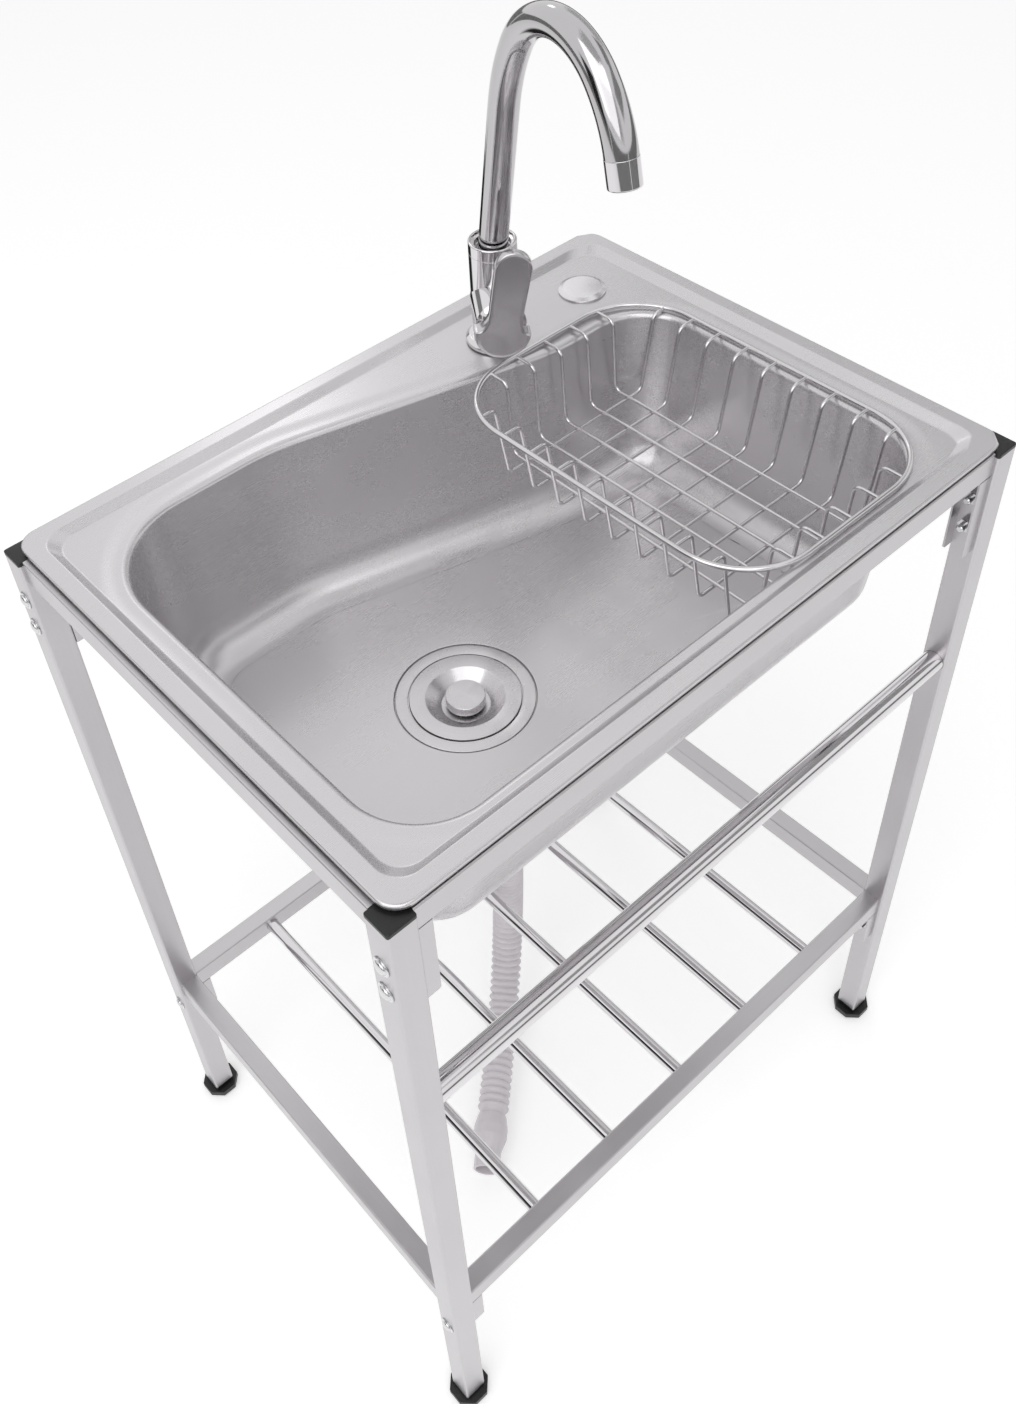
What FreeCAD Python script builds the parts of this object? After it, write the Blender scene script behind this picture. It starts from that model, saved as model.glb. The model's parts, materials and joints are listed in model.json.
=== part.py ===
import math
import os

import FreeCAD
import Part
from FreeCAD import Vector

# Frame of square tube: overall width, depth and the legs
FRAME_W = 600.0
FRAME_D = 438.0
LEG_SIDE = 22.0
LEG_WALL = 1.2
LEG_LENGTH = 794.0
TUBE_EDGE = 2.0

# Rails between the legs, and the height of the shelf frame
RAIL_WIDTH = 18.0
RAIL_HEIGHT = 22.0
RAIL_WALL = 1.2
RAIL_INSET = 3.5
RAIL_EDGE = 1.5
SHELF_TOP = 229.0

# Folded channels that hang under the front and back rails and take the bolts
BRACKET_SHEET = 1.5
BRACKET_FLANGE = 12.0
BRACKET_CHAMFER = 1.5
TOP_BRACKET_DROP = 75.0
SHELF_BRACKET_DROP = 42.0
TOP_BOLT_DROP = 21.0
TOP_BOLT_STEP = 28.0
SHELF_BOLT_DROP = 21.0

# Bolts and nuts
BOLT_R = 3.0
BOLT_HOLE_PLAY = 0.3
BOLT_FLANGE_R = 7.2
BOLT_FLANGE_H = 1.1
BOLT_HEAD_R = 5.2
BOLT_HEAD_H = 3.6
BOLT_END = 3.0
NUT_R = 5.8
NUT_H = 5.0

# Plastic caps on the legs
CAP_H = 3.3
CAP_PLUG = 15.0
PLUG_PLAY = 0.2

# Screw feet under the legs
FOOT_PAD_R = 19.0
FOOT_PAD_H = 8.5
FOOT_PAD_TAPER = 1.8
FOOT_NECK_R = 9.0
FOOT_NECK_H = 2.2
FOOT_GAP = 0.3
FOOT_STUD_R = 4.0
FOOT_STUD_PLAY = 0.3
FOOT_STUD_LENGTH = 30.0
INSERT_FLANGE = 3.0
INSERT_PLUG = 26.0

# Chrome bars: shelf rods and towel rail
SHELF_ROD_R = 6.5
SHELF_ROD_COUNT = 5
SHELF_ROD_ENTRY = 10.0
ROD_PLAY = 0.2
TOWEL_R = 9.5
TOWEL_WALL = 1.0
TOWEL_HEIGHT = 584.0
TOWEL_ENTRY = 8.0

# Pressed sink: folded rim, raised border, step and sunken deck
SHEET = 0.9
RIM_INSET_X = 8.0
RIM_INSET_Y = 4.0
RIM_CORNER = 16.0
RIM_H = 7.0
BORDER = 13.0
STEP_RUN = 7.0
STEP_CORNER = 10.0
STEP_DROP = 5.0

# Bowl: margins from the faces of the frame to its edge, bends of its back edge, wall draft, floor
BOWL_MARGIN_LEFT = 44.0
BOWL_MARGIN_RIGHT = 52.0
BOWL_MARGIN_FRONT = 33.0
BOWL_MARGIN_BACK = 46.0
BOWL_MARGIN_TAP = 111.0
BOWL_BEND_FROM_LEFT = 161.0
BOWL_BEND_FROM_RIGHT = 98.0
BOWL_CORNER_FRONT = 55.0
BOWL_CORNER_BACK_LEFT = 78.0
BOWL_CORNER_BACK_RIGHT = 50.0
BOWL_BEND_R = 190.0
BOWL_DEPTH = 153.0
BOWL_DRAFT = 15.0
BOWL_FLOOR_R = 30.0
BOWL_LIP_R = 6.0

# Drain in the bowl floor
DRAIN_FROM_LEFT = 181.0
DRAIN_FROM_FRONT = 168.0
SEAT_R = 57.0
SEAT_DROP = 2.6
DRAIN_HOLE_R = 45.0
FLANGE_R = 55.0
FLANGE_H = 1.6
CUP_R = 43.5
CUP_WALL = 1.2
CUP_BEND = 3.0
CUP_DEPTH = 36.0
CUP_OUTLET_R = 19.0
GASKET_H = 3.0
GASKET_R = 54.0
LOCKNUT_R = 57.0
LOCKNUT_H = 14.0
LOCKNUT_LUGS = 6
DRAIN_PLAY = 0.3
TAIL_LENGTH = 20.0
HOSE_NUT_R = 25.0
HOSE_NUT_H = 20.0
HOSE_NUT_GRIPS = 12

# Lift-out strainer with its knob
STRAINER_RIM_R = 42.0
STRAINER_DISH_R = 32.0
STRAINER_DISH_DROP = 9.0
STRAINER_SHEET = 1.0
STRAINER_HOLES = 12
STRAINER_HOLE_R = 2.2
KNOB_R = 16.0
KNOB_H = 9.0
KNOB_STEM_R = 5.0
KNOB_STEM_H = 5.0

# Corrugated waste hose; the corners of its route start from the gap between two middle shelf rods
HOSE_R = 14.5
HOSE_VALLEY = 2.0
HOSE_BORE_R = 11.0
HOSE_PITCH = 14.0
HOSE_PLAIN = 32.0
HOSE_CUFF_R = 18.0
HOSE_CUFF_LENGTH = 38.0
HOSE_SPIGOT_R = 13.6
HOSE_SPIGOT_LENGTH = 19.0
HOSE_DROP = 123.5
HOSE_ROUTE = [
    (-16.3, 68.0, 300.0),
    (-0.3, 92.0, 112.0),
    (-64.3, 36.0, 26.0),
    (-147.3, -36.0, 20.0),
]

# Second hole in the deck and its chrome cover
TAP_FROM_RIGHT = 176.0
TAP_FROM_BACK = 65.0
COVER_FROM_RIGHT = 77.0
TAP_HOLE_R = 17.5
COVER_R = 20.5
COVER_H = 6.0
COVER_EDGE = 1.5
COVER_STEM_R = 5.0
COVER_STEM_LENGTH = 24.0
COVER_NUT_R = 22.0
COVER_NUT_H = 6.0

# Tap: foot ring, body, side stub for the lever
TAP_GASKET_H = 1.2
TAP_FOOT_R = 25.5
TAP_FOOT_H = 6.0
TAP_BODY_R = 21.0
TAP_BODY_H = 76.0
TAP_BORE_R = 14.0
TAP_BORE_DEPTH = 24.0
TAP_WATERWAY_R = 8.0
COLLAR_H = 10.0
SWIVEL_PLAY = 0.3
STUB_ANGLE = 36.0
STUB_HEIGHT = 36.0
STUB_R = 20.0
PIVOT_REACH = 22.0
PIVOT_BALL_R = 30.0
STEM_R = 8.0
STEM_LENGTH = 28.0

# Lever
LEVER_GAP = 0.5
LEVER_HUB_R = 22.5
LEVER_THICK = 7.0
LEVER_SEAT = 1.0
LEVER_SHOULDER = 18.0
LEVER_WAIST = 27.0
LEVER_TOP_W = 29.0
LEVER_LENGTH = 66.0
LEVER_TURN = 10.0
LEVER_EDGE = 1.6

# Swan-neck spout
SPOUT_R = 11.2
SPOUT_WALL = 1.5
SPOUT_RISE = 15.0
SPOUT_LEAN_R = 330.0
SPOUT_LEAN = 31.0
SPOUT_CROOK_R = 70.0
SPOUT_CROOK = 140.0
SPOUT_TURN = 12.0
AERATOR_R = 12.2
AERATOR_LENGTH = 20.0

# Tap fixings under the deck
SHANK_R = 14.0
SHANK_WALL = 2.0
SHANK_LENGTH = 48.0
TAP_WASHER_R = 25.0
TAP_WASHER_H = 3.0
TAP_NUT_R = 24.0
TAP_NUT_H = 9.0
INLET_R = 4.5
INLET_BORE_R = 2.8
INLET_SPREAD = 5.6
INLET_LENGTH = 30.0

# Wire basket hung over the right end of the bowl: how far its rim lies on the deck, ledge and slope of its walls
BASKET_W = 220.0
BASKET_OVER_RIGHT = 7.0
BASKET_OVER_FRONT = 5.5
BASKET_OVER_BACK = 15.5
BASKET_CORNER = 62.0
BASKET_RIM_R = 2.25
BASKET_WIRE_R = 1.5
BASKET_LEDGE_W = 20.0
BASKET_LEDGE_L = 23.5
BASKET_SLOPE_W = 13.0
BASKET_SLOPE_L = 5.0
BASKET_DEPTH = 71.0
BASKET_BEND = 7.0
BASKET_CROSS_COUNT = 9
BASKET_CROSS_END = 41.5
BASKET_LONG_COUNT = 5
BASKET_LONG_END = 50.0
BASKET_SEAT = 0.3

# Heights that follow from the sizes above
LEG_BOTTOM = FOOT_PAD_H + FOOT_NECK_H + FOOT_GAP + INSERT_FLANGE
LEG_TOP = LEG_BOTTOM + LEG_LENGTH
RAIL_TOP = LEG_TOP + CAP_H
RIM_TOP = RAIL_TOP + RIM_H
DECK = RIM_TOP - STEP_DROP
FLOOR = RIM_TOP - BOWL_DEPTH
SEAT = FLOOR - SEAT_DROP
UP = Vector(0, 0, 1)

# Places that follow from the frame
BOWL_LEFT = BOWL_MARGIN_LEFT - FRAME_W / 2
BOWL_RIGHT = FRAME_W / 2 - BOWL_MARGIN_RIGHT
BOWL_FRONT = BOWL_MARGIN_FRONT - FRAME_D / 2
BOWL_BACK = FRAME_D / 2 - BOWL_MARGIN_BACK
BOWL_BACK_RIGHT = FRAME_D / 2 - BOWL_MARGIN_TAP
BOWL_BEND_LEFT = BOWL_LEFT + BOWL_BEND_FROM_LEFT
BOWL_BEND_RIGHT = BOWL_RIGHT - BOWL_BEND_FROM_RIGHT
DRAIN_X = BOWL_LEFT + DRAIN_FROM_LEFT
DRAIN_Y = BOWL_FRONT + DRAIN_FROM_FRONT
TAP_X = FRAME_W / 2 - TAP_FROM_RIGHT
TAP_Y = FRAME_D / 2 - TAP_FROM_BACK
COVER_X = FRAME_W / 2 - COVER_FROM_RIGHT
BASKET_L = BOWL_BACK_RIGHT - BOWL_FRONT + BASKET_OVER_FRONT + BASKET_OVER_BACK
BASKET_X = BOWL_RIGHT + BASKET_OVER_RIGHT - BASKET_W / 2
BASKET_Y = BOWL_FRONT - BASKET_OVER_FRONT + BASKET_L / 2


def block(x0, x1, y0, y1, z0, z1):
    return Part.makeBox(x1 - x0, y1 - y0, z1 - z0, Vector(x0, y0, z0))


def rod(radius, start, end):
    return Part.makeCylinder(radius, (end - start).Length, start, end - start)


def column(radius, x, y, z0, z1):
    return rod(radius, Vector(x, y, z0), Vector(x, y, z1))


def ring(outer, inner, x, y, z0, z1):
    return column(outer, x, y, z0, z1).cut(column(inner, x, y, z0 - 1, z1 + 1))


def bar(x0, x1, y0, y1, z0, z1, axis, edge):
    # Box whose four long edges are rounded
    solid = block(x0, x1, y0, y1, z0, z1)
    along = []
    for e in solid.Edges:
        d = e.Vertexes[1].Point - e.Vertexes[0].Point
        if abs(abs(d[axis]) - d.Length) < 1e-6:
            along.append(e)
    return solid.makeFillet(edge, along)


def polygon_prism(radius, sides, x, y, z0, z1):
    points = []
    for k in range(sides + 1):
        a = 2 * math.pi * (k + 0.5) / sides
        points.append(Vector(x + radius * math.cos(a), y + radius * math.sin(a), z0))
    return Part.Face(Part.makePolygon(points)).extrude(Vector(0, 0, z1 - z0))


def turned(points, x, y):
    # Revolve a closed (radius, height) profile round a vertical axis; four numbers make an arc
    edges = []
    last = points[-1][-2:]
    for p in points:
        a = Vector(x + last[0], y, last[1])
        b = Vector(x + p[-2], y, p[-1])
        if len(p) == 4:
            edges.append(Part.Arc(a, Vector(x + p[0], y, p[1]), b).toShape())
        else:
            edges.append(Part.makeLine(a, b))
        last = p[-2:]
    face = Part.Face(Part.Wire(edges))
    return face.revolve(Vector(x, y, 0), UP, 360)


def dome(r, low, top):
    # Arc of a ball from a radius and height up to the axis
    h = top - low
    ball = (r * r + h * h) / (2 * h)
    a = math.asin(r / ball) / 2
    return ball * math.sin(a), top - ball * (1 - math.cos(a)), 0, top


def rounded_outline(corners, radii, inset, z):
    # Closed outline with rounded corners, moved inwards by the inset; corners run anticlockwise
    n = len(corners)
    flat = [Vector(c[0], c[1], 0) for c in corners]
    ways = [(flat[(i + 1) % n] - flat[i]).normalize() for i in range(n)]
    moved = []
    for i in range(n):
        a, b = ways[i - 1], ways[i]
        na, nb = Vector(-a.y, a.x, 0), Vector(-b.y, b.x, 0)
        moved.append(flat[i] + (na + nb) * (inset / (1 + na.dot(nb))))
    starts, mids, ends = [], [], []
    for i in range(n):
        a, b = ways[i - 1], ways[i]
        half = a.getAngle(b) / 2
        convex = a.cross(b).z > 0
        r = radii[i] - inset if convex else radii[i] + inset
        reach = r * math.tan(half)
        middle = (b - a).normalize()
        starts.append(moved[i] - a * reach)
        mids.append(moved[i] + middle * (r / math.cos(half) - r))
        ends.append(moved[i] + b * reach)
    lift = Vector(0, 0, z)
    edges = []
    for i in range(n):
        j = (i + 1) % n
        edges.append(Part.Arc(starts[i] + lift, mids[i] + lift, ends[i] + lift).toShape())
        edges.append(Part.makeLine(ends[i] + lift, starts[j] + lift))
    return Part.Wire(edges)


def loft(outline_a, outline_b):
    return Part.makeLoft([outline_a, outline_b], True, True)


def bent_path(points, radii):
    # Straight runs joined by tangent arcs at the inner points
    edges = []
    last = points[0]
    for i in range(1, len(points) - 1):
        a = (points[i] - points[i - 1]).normalize()
        b = (points[i + 1] - points[i]).normalize()
        half = a.getAngle(b) / 2
        r = radii[i - 1]
        start = points[i] - a * (r * math.tan(half))
        end = points[i] + b * (r * math.tan(half))
        mid = points[i] + (b - a).normalize() * (r / math.cos(half) - r)
        edges.append(Part.makeLine(last, start))
        edges.append(Part.Arc(start, mid, end).toShape())
        last = end
    edges.append(Part.makeLine(last, points[-1]))
    return Part.Wire(edges)


def sweep(path, radius, start, way):
    circle = Part.Wire(Part.Circle(start, way, radius).toShape())
    return path.makePipeShell([circle], True, False)


def wire_section(centre, way, radius):
    # Eight-sided section with level flats
    side = way.cross(UP).normalize()
    reach = radius / math.cos(math.pi / 8)
    corners = []
    for k in range(9):
        a = math.pi * (k + 0.5) / 4
        corners.append(centre + side * (reach * math.cos(a)) + UP * (reach * math.sin(a)))
    return Part.makePolygon(corners)


def wire_run(points, bend, radius):
    # Bent wire whose bends are cut by two mitres each
    track = [points[0]]
    for before, at, after in zip(points, points[1:], points[2:]):
        back, on = (before - at).normalize(), (after - at).normalize()
        cut = bend / math.tan(back.getAngle(on) / 2)
        track += [at + back * cut, at + on * cut]
    track.append(points[-1])
    section = wire_section(points[0], points[1] - points[0], radius)
    return Part.makePolygon(track).makePipeShell([section], True, False, 1)


def mirror_four(make):
    # One copy at each leg, from the signs of its corner
    return [make(sx, sy) for sx in (-1, 1) for sy in (-1, 1)]


def group(solids):
    return Part.makeCompound(solids)


def leg_centre(sx, sy):
    return sx * (FRAME_W - LEG_SIDE) / 2, sy * (FRAME_D - LEG_SIDE) / 2


def top_bolt_heights():
    first = RAIL_TOP - RAIL_HEIGHT - TOP_BOLT_DROP
    return [first, first - TOP_BOLT_STEP]


def shelf_bolt_heights():
    return [SHELF_TOP - RAIL_HEIGHT - SHELF_BOLT_DROP]


def leg(sx, sy):
    # Square tube, drilled for the bolts and, at the front, for the towel rail
    cx, cy = leg_centre(sx, sy)
    h = LEG_SIDE / 2
    g = h - LEG_WALL
    tube = bar(cx - h, cx + h, cy - h, cy + h, LEG_BOTTOM, LEG_TOP, 2, TUBE_EDGE)
    tube = tube.cut(block(cx - g, cx + g, cy - g, cy + g, LEG_BOTTOM - 1, LEG_TOP + 1))
    for z in top_bolt_heights() + shelf_bolt_heights():
        tube = tube.cut(rod(BOLT_R + BOLT_HOLE_PLAY, Vector(cx - LEG_SIDE, cy, z), Vector(cx + LEG_SIDE, cy, z)))
    if sy < 0:
        inner = Vector(cx - sx * LEG_SIDE, cy, TOWEL_HEIGHT)
        tube = tube.cut(rod(TOWEL_R + ROD_PLAY, inner, Vector(cx, cy, TOWEL_HEIGHT)))
    return tube


def leg_cap(sx, sy):
    cx, cy = leg_centre(sx, sy)
    h = LEG_SIDE / 2
    g = h - LEG_WALL - PLUG_PLAY
    plate = bar(cx - h, cx + h, cy - h, cy + h, LEG_TOP, RAIL_TOP, 2, TUBE_EDGE)
    plug = block(cx - g, cx + g, cy - g, cy + g, LEG_TOP - CAP_PLUG, LEG_TOP)
    return plate.fuse(plug)


def foot_insert(sx, sy):
    cx, cy = leg_centre(sx, sy)
    h = LEG_SIDE / 2
    g = h - LEG_WALL - PLUG_PLAY
    flange = bar(cx - h, cx + h, cy - h, cy + h, LEG_BOTTOM - INSERT_FLANGE, LEG_BOTTOM, 2, TUBE_EDGE)
    plug = block(cx - g, cx + g, cy - g, cy + g, LEG_BOTTOM, LEG_BOTTOM + INSERT_PLUG)
    hole = column(FOOT_STUD_R + FOOT_STUD_PLAY, cx, cy, 0, LEG_BOTTOM + INSERT_PLUG + 1)
    return flange.fuse(plug).cut(hole)


def foot(sx, sy):
    # Eight-sided pad that is turned by hand, drawn in at the floor, with its threaded stud
    cx, cy = leg_centre(sx, sy)
    drawn = FOOT_PAD_R - FOOT_PAD_TAPER
    wires = []
    for r, z in ((drawn, 0.0), (FOOT_PAD_R, FOOT_PAD_TAPER)):
        wires.append(polygon_prism(r, 8, cx, cy, z, z + 1).Faces[-2].OuterWire)
    base = Part.makeLoft(wires, True, True)
    pad = polygon_prism(FOOT_PAD_R, 8, cx, cy, FOOT_PAD_TAPER, FOOT_PAD_H)
    neck = column(FOOT_NECK_R, cx, cy, FOOT_PAD_H, FOOT_PAD_H + FOOT_NECK_H)
    stud = column(FOOT_STUD_R, cx, cy, FOOT_PAD_H + FOOT_NECK_H, FOOT_PAD_H + FOOT_STUD_LENGTH)
    return base.fuse([pad, neck, stud]).removeSplitter()


def rail_x(sy, top, rods):
    # Rail along X between two legs; rods tells whether shelf rods enter its inner wall
    x = FRAME_W / 2 - LEG_SIDE
    face = sy * (FRAME_D / 2 - RAIL_INSET)
    back = face - sy * RAIL_WIDTH
    y0, y1 = min(face, back), max(face, back)
    tube = bar(-x, x, y0, y1, top - RAIL_HEIGHT, top, 0, RAIL_EDGE)
    w = RAIL_WALL
    tube = tube.cut(block(-x - 1, x + 1, y0 + w, y1 - w, top - RAIL_HEIGHT + w, top - w))
    if rods:
        for rx in shelf_rod_places():
            z = top - RAIL_HEIGHT / 2
            reach = Vector(rx, back + sy * (RAIL_WIDTH / 2), z)
            tube = tube.cut(rod(SHELF_ROD_R + ROD_PLAY, Vector(rx, back - sy * 5, z), reach))
    return tube


def rail_y(sx, top):
    y = FRAME_D / 2 - LEG_SIDE
    face = sx * (FRAME_W / 2 - RAIL_INSET)
    back = face - sx * RAIL_WIDTH
    x0, x1 = min(face, back), max(face, back)
    tube = bar(x0, x1, -y, y, top - RAIL_HEIGHT, top, 1, RAIL_EDGE)
    w = RAIL_WALL
    return tube.cut(block(x0 + w, x1 - w, -y - 1, y + 1, top - RAIL_HEIGHT + w, top - w))


def bracket(sx, sy, top, drop, bolt_heights):
    # Channel under the end of a rail: web against the leg, two flanges with broken corners
    web = sx * (FRAME_W / 2 - LEG_SIDE)
    tip = web - sx * BRACKET_FLANGE
    face = sy * (FRAME_D / 2 - RAIL_INSET)
    back = face - sy * RAIL_WIDTH
    z1 = top - RAIL_HEIGHT
    z0 = z1 - drop
    c = BRACKET_CHAMFER
    outline = [(web, z1), (tip, z1), (tip, z0 + c), (tip + sx * c, z0), (web, z0), (web, z1)]
    side = Part.Face(Part.makePolygon([Vector(x, min(face, back), z) for x, z in outline]))
    solid = side.extrude(Vector(0, RAIL_WIDTH, 0))
    s = BRACKET_SHEET
    x_in, x_out = sorted((web - sx * s, tip - sx))
    y_in, y_out = sorted((face - sy * s, back + sy * s))
    solid = solid.cut(block(x_in, x_out, y_in, y_out, z0 - 1, z1 + 1))
    cy = leg_centre(sx, sy)[1]
    for z in bolt_heights:
        solid = solid.cut(rod(BOLT_R + BOLT_HOLE_PLAY, Vector(web - sx * 5, cy, z), Vector(web + sx * 5, cy, z)))
    return solid


def bolt(sx, sy, z):
    # Flanged bolt along X, head on the outer face of the leg
    cy = leg_centre(sx, sy)[1]
    out = sx * FRAME_W / 2
    tip = out - sx * (LEG_SIDE + BRACKET_SHEET + NUT_H + BOLT_END)
    shank = rod(BOLT_R, Vector(out, cy, z), Vector(tip, cy, z))
    flange = rod(BOLT_FLANGE_R, Vector(out, cy, z), Vector(out + sx * BOLT_FLANGE_H, cy, z))
    head = Part.makeCone(BOLT_HEAD_R, BOLT_HEAD_R * 0.6, BOLT_HEAD_H, Vector(out, cy, z), Vector(sx, 0, 0))
    return head.fuse([flange, shank])


def nut(sx, sy, z):
    cy = leg_centre(sx, sy)[1]
    web = sx * (FRAME_W / 2 - LEG_SIDE - BRACKET_SHEET)
    corners = []
    for k in range(7):
        a = math.pi * k / 3
        corners.append(Vector(web, cy + NUT_R * math.cos(a), z + NUT_R * math.sin(a)))
    solid = Part.Face(Part.makePolygon(corners)).extrude(Vector(-sx * NUT_H, 0, 0))
    far = Vector(web - sx * (NUT_H + 1), cy, z)
    return solid.cut(rod(BOLT_R, Vector(web + sx, cy, z), far))


def shelf_rod_places():
    clear = FRAME_W - 2 * LEG_SIDE
    step = clear / (SHELF_ROD_COUNT + 1)
    return [-clear / 2 + step * (k + 1) for k in range(SHELF_ROD_COUNT)]


def shelf_rod(x):
    y = FRAME_D / 2 - RAIL_INSET - RAIL_WIDTH + SHELF_ROD_ENTRY
    z = SHELF_TOP - RAIL_HEIGHT / 2
    return rod(SHELF_ROD_R, Vector(x, -y, z), Vector(x, y, z))


def towel_rail():
    x = FRAME_W / 2 - LEG_SIDE + TOWEL_ENTRY
    y = leg_centre(-1, -1)[1]
    a, b = Vector(-x, y, TOWEL_HEIGHT), Vector(x, y, TOWEL_HEIGHT)
    return rod(TOWEL_R, a, b).cut(rod(TOWEL_R - TOWEL_WALL, a - Vector(1, 0, 0), b + Vector(1, 0, 0)))


def rim_outline(inset, z):
    x = FRAME_W / 2 - RIM_INSET_X
    y = FRAME_D / 2 - RIM_INSET_Y
    corners = [(-x, -y), (x, -y), (x, y), (-x, y)]
    radius = max(RIM_CORNER, inset + STEP_CORNER)
    return rounded_outline(corners, [radius] * 4, inset, z)


def bowl_outline(inset, z):
    corners = [
        (BOWL_LEFT, BOWL_FRONT),
        (BOWL_RIGHT, BOWL_FRONT),
        (BOWL_RIGHT, BOWL_BACK_RIGHT),
        (BOWL_BEND_RIGHT, BOWL_BACK_RIGHT),
        (BOWL_BEND_LEFT, BOWL_BACK),
        (BOWL_LEFT, BOWL_BACK),
    ]
    radii = [
        BOWL_CORNER_FRONT,
        BOWL_CORNER_FRONT,
        BOWL_CORNER_BACK_RIGHT,
        BOWL_BEND_R,
        BOWL_BEND_R,
        BOWL_CORNER_BACK_LEFT,
    ]
    return rounded_outline(corners, radii, inset, z)


def edges_at(solid, z, reach_x):
    # Edges that lie in one level plane, within a distance of the middle
    found = []
    for e in solid.Edges:
        b = e.BoundBox
        if abs(b.ZMin - z) < 1e-4 and abs(b.ZMax - z) < 1e-4 and max(abs(b.XMin), abs(b.XMax)) < reach_x:
            found.append(e)
    return found


def sink_hollow(t):
    # The space above the sheet, grown by t on its underside: sunken deck, bowl and drain seat
    recess = loft(rim_outline(BORDER - t, RIM_TOP - t), rim_outline(BORDER + STEP_RUN - t, DECK - t))
    bowl = loft(bowl_outline(-t, DECK - t), bowl_outline(BOWL_DRAFT - t, FLOOR - t))
    bowl = bowl.makeFillet(BOWL_FLOOR_R + t, edges_at(bowl, FLOOR - t, FRAME_W))
    hollow = recess.fuse(bowl)
    lip = edges_at(hollow, DECK - t, max(-BOWL_LEFT, BOWL_RIGHT) + t + 0.5)
    hollow = hollow.makeFillet(BOWL_LIP_R - t, lip)
    return hollow.fuse(column(SEAT_R + t, DRAIN_X, DRAIN_Y, SEAT - t, FLOOR - t + 0.01))


def sink_bowl():
    face = Part.Face(rim_outline(0, RAIL_TOP))
    inner = Part.Face(rim_outline(SHEET, RAIL_TOP))
    shell = face.extrude(UP * RIM_H).cut(inner.extrude(UP * (RIM_H - SHEET)))
    solid = shell.fuse(sink_hollow(SHEET)).cut(sink_hollow(0))
    solid = solid.cut(column(DRAIN_HOLE_R, DRAIN_X, DRAIN_Y, SEAT - 5, SEAT + 5))
    for x in (TAP_X, COVER_X):
        solid = solid.cut(column(TAP_HOLE_R, x, TAP_Y, DECK - 5, DECK + 5))
    return solid


def strainer_body():
    # Steel cup hung by its flange in the drain seat, with a short outlet
    z = SEAT
    low = z - CUP_DEPTH
    out = CUP_OUTLET_R
    w = CUP_WALL
    points = [
        (out - w, low - TAIL_LENGTH),
        (out, low - TAIL_LENGTH),
        (out, low - w),
        (CUP_R - CUP_BEND, low - w),
        (CUP_R, low - w + CUP_BEND),
        (CUP_R, z),
        (FLANGE_R, z),
        (FLANGE_R, z + 0.6),
        (FLANGE_R - 1.5, z + FLANGE_H),
        (CUP_R + 0.5, z + FLANGE_H),
        (CUP_R - w, z),
        (CUP_R - w, low + CUP_BEND - w / 2),
        (CUP_R - CUP_BEND - w / 2, low),
        (out - w, low),
    ]
    return turned(points, DRAIN_X, DRAIN_Y)


def strainer_locknut():
    top = SEAT - SHEET - GASKET_H
    solid = ring(LOCKNUT_R - 5, CUP_R + DRAIN_PLAY, DRAIN_X, DRAIN_Y, top - LOCKNUT_H, top)
    for k in range(LOCKNUT_LUGS):
        a = 2 * math.pi * k / LOCKNUT_LUGS
        x = DRAIN_X + (LOCKNUT_R - 5) * math.cos(a)
        y = DRAIN_Y + (LOCKNUT_R - 5) * math.sin(a)
        solid = solid.fuse(column(5, x, y, top - LOCKNUT_H, top))
    bore = column(CUP_R + DRAIN_PLAY, DRAIN_X, DRAIN_Y, top - LOCKNUT_H - 1, top + 1)
    return solid.cut(bore)


def hose_nut():
    # Ribbed coupling nut that screws on the outlet and holds the hose
    top = SEAT - CUP_DEPTH - CUP_WALL - 2
    low = top - HOSE_NUT_H
    outlet_end = SEAT - CUP_DEPTH - TAIL_LENGTH
    points = [
        (HOSE_BORE_R, low),
        (HOSE_NUT_R - 4, low),
        (HOSE_NUT_R, low + 4),
        (HOSE_NUT_R, top),
        (CUP_OUTLET_R + DRAIN_PLAY, top),
        (CUP_OUTLET_R + DRAIN_PLAY, outlet_end - DRAIN_PLAY),
        (HOSE_BORE_R, outlet_end - DRAIN_PLAY),
    ]
    solid = turned(points, DRAIN_X, DRAIN_Y)
    for k in range(HOSE_NUT_GRIPS):
        a = 2 * math.pi * k / HOSE_NUT_GRIPS
        x = DRAIN_X + (HOSE_NUT_R + 0.8) * math.cos(a)
        y = DRAIN_Y + (HOSE_NUT_R + 0.8) * math.sin(a)
        solid = solid.cut(column(2.2, x, y, low + 4, top + 1))
    return solid


def strainer_basket():
    # Dished sieve that drops into the cup and hangs by its rim
    z = SEAT + FLANGE_H + DRAIN_PLAY
    t = STRAINER_SHEET
    low = z - STRAINER_DISH_DROP
    points = [
        (0, low),
        (STRAINER_DISH_R - 4, low),
        (STRAINER_DISH_R, low + 3),
        (STRAINER_RIM_R - 2, z - 1.5),
        (CUP_R - 0.5, z),
        (CUP_R + 2, z),
        (CUP_R + 2, z + t),
        (STRAINER_RIM_R - 2.5, z),
        (STRAINER_DISH_R - 0.5, low + 4),
        (STRAINER_DISH_R - 4.5, low + t),
        (0, low + t),
    ]
    solid = turned(points, DRAIN_X, DRAIN_Y)
    for k in range(STRAINER_HOLES):
        a = 2 * math.pi * k / STRAINER_HOLES
        x = DRAIN_X + (STRAINER_DISH_R - 8) * math.cos(a)
        y = DRAIN_Y + (STRAINER_DISH_R - 8) * math.sin(a)
        solid = solid.cut(column(STRAINER_HOLE_R, x, y, low - 1, low + t + 1))
    return solid


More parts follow.
